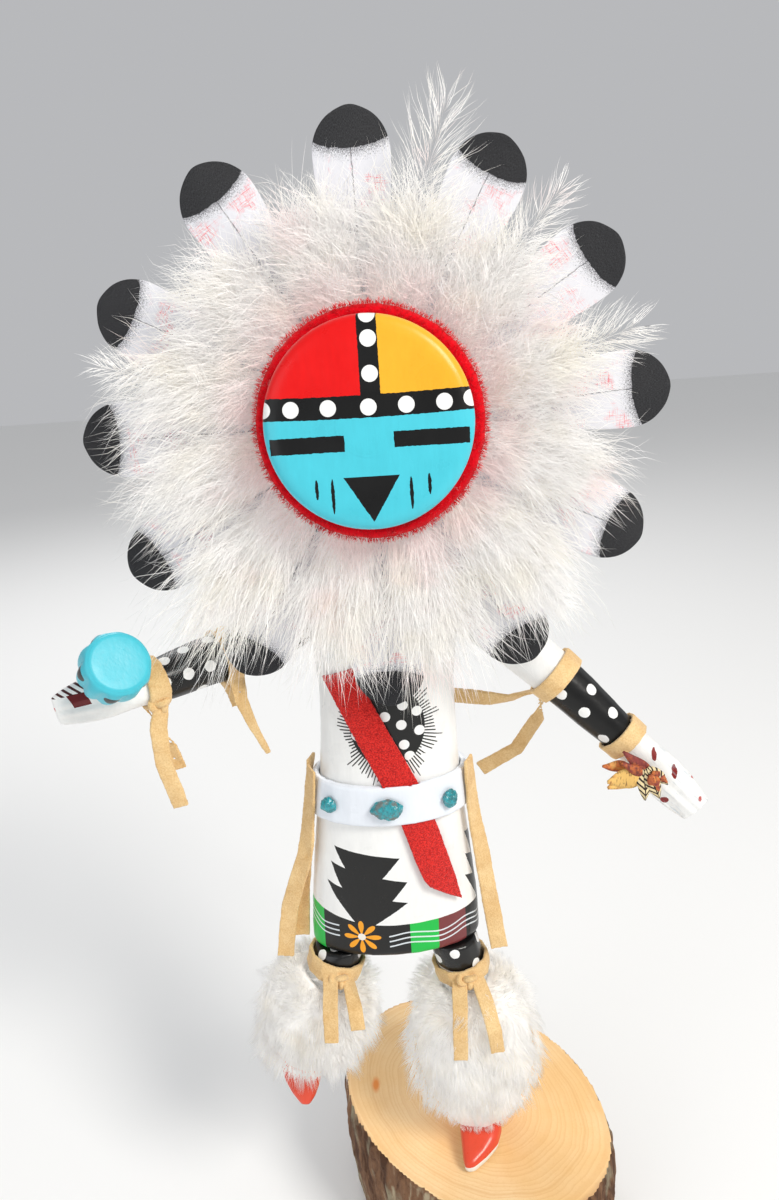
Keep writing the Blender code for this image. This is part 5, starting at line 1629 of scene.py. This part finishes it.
# Leaves: root, the way each points, length and width in millimetres, its tint, and whether it is striped
LEAVES = (
    ((61.5, -30.6, 217.5), (-0.72, -0.10, 0.70), 14.5, 3.6, 0.05, 0),
    ((61.0, -31.4, 217.0), (-0.84, -0.08, 0.54), 12.5, 3.2, 0.15, 0),
    ((60.0, -30.8, 216.5), (-0.60, -0.10, 0.80), 11.0, 2.8, 0.30, 0),
    ((58.5, -31.2, 218.0), (-1.0, -0.05, -0.08), 12.5, 6.6, 0.95, 0),
    ((57.0, -30.2, 217.2), (-0.96, -0.05, -0.26), 11.0, 5.0, 0.80, 0),
    ((54.5, -29.6, 220.5), (-0.99, 0.06, 0.10), 9.5, 3.8, 0.45, 0),
    ((57.8, -32.0, 221.0), (0.02, -0.15, -0.99), 10.5, 4.2, 0.9, 1),
    ((58.4, -32.4, 221.2), (0.38, -0.15, -0.92), 11.0, 4.4, 0.9, 1),
    ((59.0, -32.2, 221.4), (0.72, -0.12, -0.68), 8.6, 4.0, 0.9, 1),
    ((59.4, -33.4, 219.8), (0.42, -0.16, -0.88), 6.2, 3.6, 0.35, 0),
    ((60.0, -33.0, 220.4), (0.74, -0.10, -0.55), 6.0, 2.8, 0.30, 0),
)


def leaf_material():
    """Dry leaves, maroon to gold, with dark veins and, where striped, black bars on cream."""
    made, s, shader = start_material("dry_leaves", Roughness=0.6, Specular_IOR_Level=0.3)
    tint = s.attribute("tint") + s.spread(s.noise(s.place(), 420.0, 4.0, 0.6), 0.35, 0.65, -0.25, 0.25)
    body = s.mix(s.spread(tint, 0.15, 0.45), (0.24, 0.045, 0.040), (0.60, 0.17, 0.045))
    body = s.mix(s.spread(tint, 0.45, 0.85), body, (0.80, 0.50, 0.15))
    veins = s.noise(s.mapped(s.place(), rotation=(0, 0.6, 0), scale=(1, 1, 0.2)), 1900.0, 2.0)
    body = s.mix(s.spread(veins, 0.56, 0.66, 0.0, 0.7), body, (0.10, 0.035, 0.02))
    side = abs(s.attribute("leaf_across") - 0.5)
    bars = s.math("FRACT", s.attribute("leaf_along") * 5.0 + side * 2.2)
    striped = s.mix(s.either(bars < 0.40, side < 0.05), (0.80, 0.66, 0.38), (0.03, 0.018, 0.014))
    s.set(shader, Base_Color=s.mix(s.attribute("striped"), body, striped), Normal=s.bump(veins, 0.5, 0.0003))
    return made


def make_bundle():
    """A bunch of curled dry leaves and a little striped fan, tied at their stalks."""
    leaves = []
    for i, (root, way, length, width, tint, striped) in enumerate(LEAVES):
        bpy.ops.mesh.primitive_grid_add(x_subdivisions=8, y_subdivisions=16, size=1.0, location=(0, 0, 0))
        leaf = bpy.context.object
        points, _ = mesh_arrays(leaf)
        along = points[:, 1] + 0.5
        half = width / 2 * MM * (np.sin(np.pi * np.clip(along, 0.02, 1) ** 0.8) + 0.10)
        across = points[:, 0] * 2
        cup = 0.7 * MM * across ** 2 + 0.4 * MM * np.sin(along * 7 + i)
        for key, row in (("leaf_along", along), ("leaf_across", points[:, 0] + 0.5),
                         ("tint", np.full(len(points), tint)), ("striped", np.full(len(points), striped))):
            store(leaf.data, key, row)
        set_points(leaf, np.stack([across * half, cup, along * length * MM], axis=1))
        apply_modifier(leaf, "SOLIDIFY", thickness=0.00035, offset=0.0)
        # The leaf's flat side looks out of the hand's front
        ahead = Vector(way).normalized()
        flat = (Vector((0, 1, 0)) - ahead * ahead.y).normalized()
        turn = Matrix((flat.cross(ahead), flat, ahead)).transposed().to_4x4()
        leaf.data.transform(Matrix.Translation(Vector(root) * MM) @ turn)
        leaves.append(leaf)
    piece = take(*leaves)
    bpy.ops.object.join()
    piece.name = piece.data.name = "dry_leaf_bundle"
    piece.data.shade_smooth()
    return finish_piece(piece, leaf_material(), "dry_leaves", "hand_bundle")


# The stage


def make_stage():
    """A pale floor, soft studio light and the camera at the photograph's place."""
    bpy.ops.mesh.primitive_plane_add(size=6.0, location=(0, 0, -0.0002))
    floor = bpy.context.object
    floor.name = floor.data.name = "pale_floor"
    made, s, shader = start_material("pale_floor", Roughness=0.9, Specular_IOR_Level=0.1)
    s.set(shader, Base_Color=s.mix(s.noise(s.place(), 0.8, 2.0), (0.86, 0.86, 0.85), (0.90, 0.90, 0.89)))
    floor.data.materials.append(made)

    world = bpy.data.worlds.new("soft_room")
    world.use_nodes = True
    background = world.node_tree.nodes["Background"]
    background.inputs["Color"].default_value = (0.96, 0.97, 1.0, 1.0)
    background.inputs["Strength"].default_value = 0.50
    bpy.context.scene.world = world

    target = Vector((-0.02, 0, 0.25))
    lamps = (
        ("key_light", (0.75, -0.75, 1.15), 0.45, 15.0, (1.0, 0.97, 0.92)),
        ("fill_light", (-0.95, -0.85, 0.55), 0.9, 3.4, (0.93, 0.96, 1.0)),
        ("rim_light", (-0.35, 0.95, 0.95), 0.6, 5.0, (1.0, 1.0, 1.0)),
    )
    for name, place, size, power, tint in lamps:
        bpy.ops.object.light_add(type="AREA", location=place)
        lamp = bpy.context.object
        lamp.name = lamp.data.name = name
        lamp.data.size = size
        lamp.data.energy = power
        lamp.data.color = tint
        lamp.rotation_euler = (target - Vector(place)).to_track_quat("-Z", "Y").to_euler()

    camera = bpy.data.cameras.new("photo_view")
    camera.lens = CAMERA_LENS
    camera.sensor_width = 36.0
    camera.sensor_fit = "AUTO"
    camera.clip_start = 0.005
    view = bpy.data.objects.new("photo_view", camera)
    bpy.context.scene.collection.objects.link(view)
    view.matrix_world = (Matrix.Translation(CAMERA_PLACE) @ Matrix.Rotation(CAMERA_PITCH, 4, "X")
                         @ Matrix.Rotation(CAMERA_ROLL, 4, "Z"))
    bpy.context.scene.camera = view
    bpy.context.scene.view_settings.view_transform = "Standard"
    return floor


class DollOperator:
    """What every step of the doll shares: it makes its pieces and says so."""

    bl_options = {"REGISTER", "UNDO"}
    make = None

    def execute(self, context):
        if not type(self).make():
            raise RuntimeError(f"{self.bl_label} made nothing")
        return {"FINISHED"}


class DOLL_OT_stage(DollOperator, Operator):
    """Adds the floor, the lights and the camera"""
    bl_idname = "doll.stage"
    bl_label = "Stage"
    make = staticmethod(make_stage)


class DOLL_OT_slice(DollOperator, Operator):
    """Adds the slice of log that the doll stands on"""
    bl_idname = "doll.slice"
    bl_label = "Log Slice"
    make = staticmethod(make_slice)


class DOLL_OT_body(DollOperator, Operator):
    """Adds the carved body with its painted kilt"""
    bl_idname = "doll.body"
    bl_label = "Body and Kilt"
    make = staticmethod(make_body)


class DOLL_OT_belt(DollOperator, Operator):
    """Adds the white belt"""
    bl_idname = "doll.belt"
    bl_label = "Belt"
    make = staticmethod(make_belt)


class DOLL_OT_nuggets(DollOperator, Operator):
    """Adds the turquoise stones on the belt"""
    bl_idname = "doll.nuggets"
    bl_label = "Belt Stones"
    make = staticmethod(make_nuggets)


class DOLL_OT_head(DollOperator, Operator):
    """Adds the head with its painted sun face"""
    bl_idname = "doll.head"
    bl_label = "Head"
    make = staticmethod(make_head)


class DOLL_OT_yarn(DollOperator, Operator):
    """Adds the red yarn ring round the face"""
    bl_idname = "doll.yarn"
    bl_label = "Yarn Ring"
    make = staticmethod(make_yarn_ring)


class DOLL_OT_feathers(DollOperator, Operator):
    """Adds the painted feathers of the halo"""
    bl_idname = "doll.feathers"
    bl_label = "Halo Feathers"
    make = staticmethod(make_feathers)


class DOLL_OT_down(DollOperator, Operator):
    """Adds the tufts of white down"""
    bl_idname = "doll.down"
    bl_label = "Down"
    make = staticmethod(make_down)


class DOLL_OT_arms(DollOperator, Operator):
    """Adds the painted arms"""
    bl_idname = "doll.arms"
    bl_label = "Arms"
    make = staticmethod(make_arms)


class DOLL_OT_rattle(DollOperator, Operator):
    """Adds the rattle in the right hand"""
    bl_idname = "doll.rattle"
    bl_label = "Rattle"
    make = staticmethod(make_rattle)


class DOLL_OT_legs(DollOperator, Operator):
    """Adds the painted legs and moccasins"""
    bl_idname = "doll.legs"
    bl_label = "Legs"
    make = staticmethod(make_legs)


class DOLL_OT_boots(DollOperator, Operator):
    """Adds the fur sleeves round the shins"""
    bl_idname = "doll.boots"
    bl_label = "Fur Boots"
    make = staticmethod(make_boots)


class DOLL_OT_sash(DollOperator, Operator):
    """Adds the red suede sash"""
    bl_idname = "doll.sash"
    bl_label = "Sash"
    make = staticmethod(make_sash)


class DOLL_OT_suede(DollOperator, Operator):
    """Adds the tan suede straps, bands and ties"""
    bl_idname = "doll.suede"
    bl_label = "Suede Straps"
    make = staticmethod(make_suede)


class DOLL_OT_bundle(DollOperator, Operator):
    """Adds the dry leaves under the left hand"""
    bl_idname = "doll.bundle"
    bl_label = "Leaf Bundle"
    make = staticmethod(make_bundle)


STEPS = (
    DOLL_OT_stage, DOLL_OT_slice, DOLL_OT_body, DOLL_OT_belt, DOLL_OT_nuggets, DOLL_OT_head, DOLL_OT_yarn,
    DOLL_OT_feathers, DOLL_OT_down, DOLL_OT_arms, DOLL_OT_rattle, DOLL_OT_legs, DOLL_OT_boots, DOLL_OT_sash,
    DOLL_OT_suede, DOLL_OT_bundle,
)


class DOLL_PT_sidebar(Panel):
    """Lists the doll's settings and its steps"""
    bl_idname = "DOLL_PT_sidebar"
    bl_label = "Dancer Doll"
    bl_space_type = "VIEW_3D"
    bl_region_type = "UI"
    bl_category = "Doll"

    def draw(self, context):
        layout = self.layout
        for group in (context.scene.doll_sizes, context.scene.doll_colours):
            box = layout.box()
            for key in group.bl_rna.properties.keys():
                if key not in ("rna_type", "name"):
                    box.prop(group, key)
        for step in STEPS:
            layout.operator(step.bl_idname)


CLASSES = (DollSizes, DollColours, *STEPS, DOLL_PT_sidebar)


def register():
    for one in CLASSES:
        bpy.utils.register_class(one)
    bpy.types.Scene.doll_sizes = PointerProperty(type=DollSizes)
    bpy.types.Scene.doll_colours = PointerProperty(type=DollColours)


def unregister():
    del bpy.types.Scene.doll_colours
    del bpy.types.Scene.doll_sizes
    for one in reversed(CLASSES):
        bpy.utils.unregister_class(one)


def main():
    register()
    for step in STEPS:
        group, name = step.bl_idname.split(".")
        getattr(getattr(bpy.ops, group), name)()


if __name__ == "__main__":
    main()
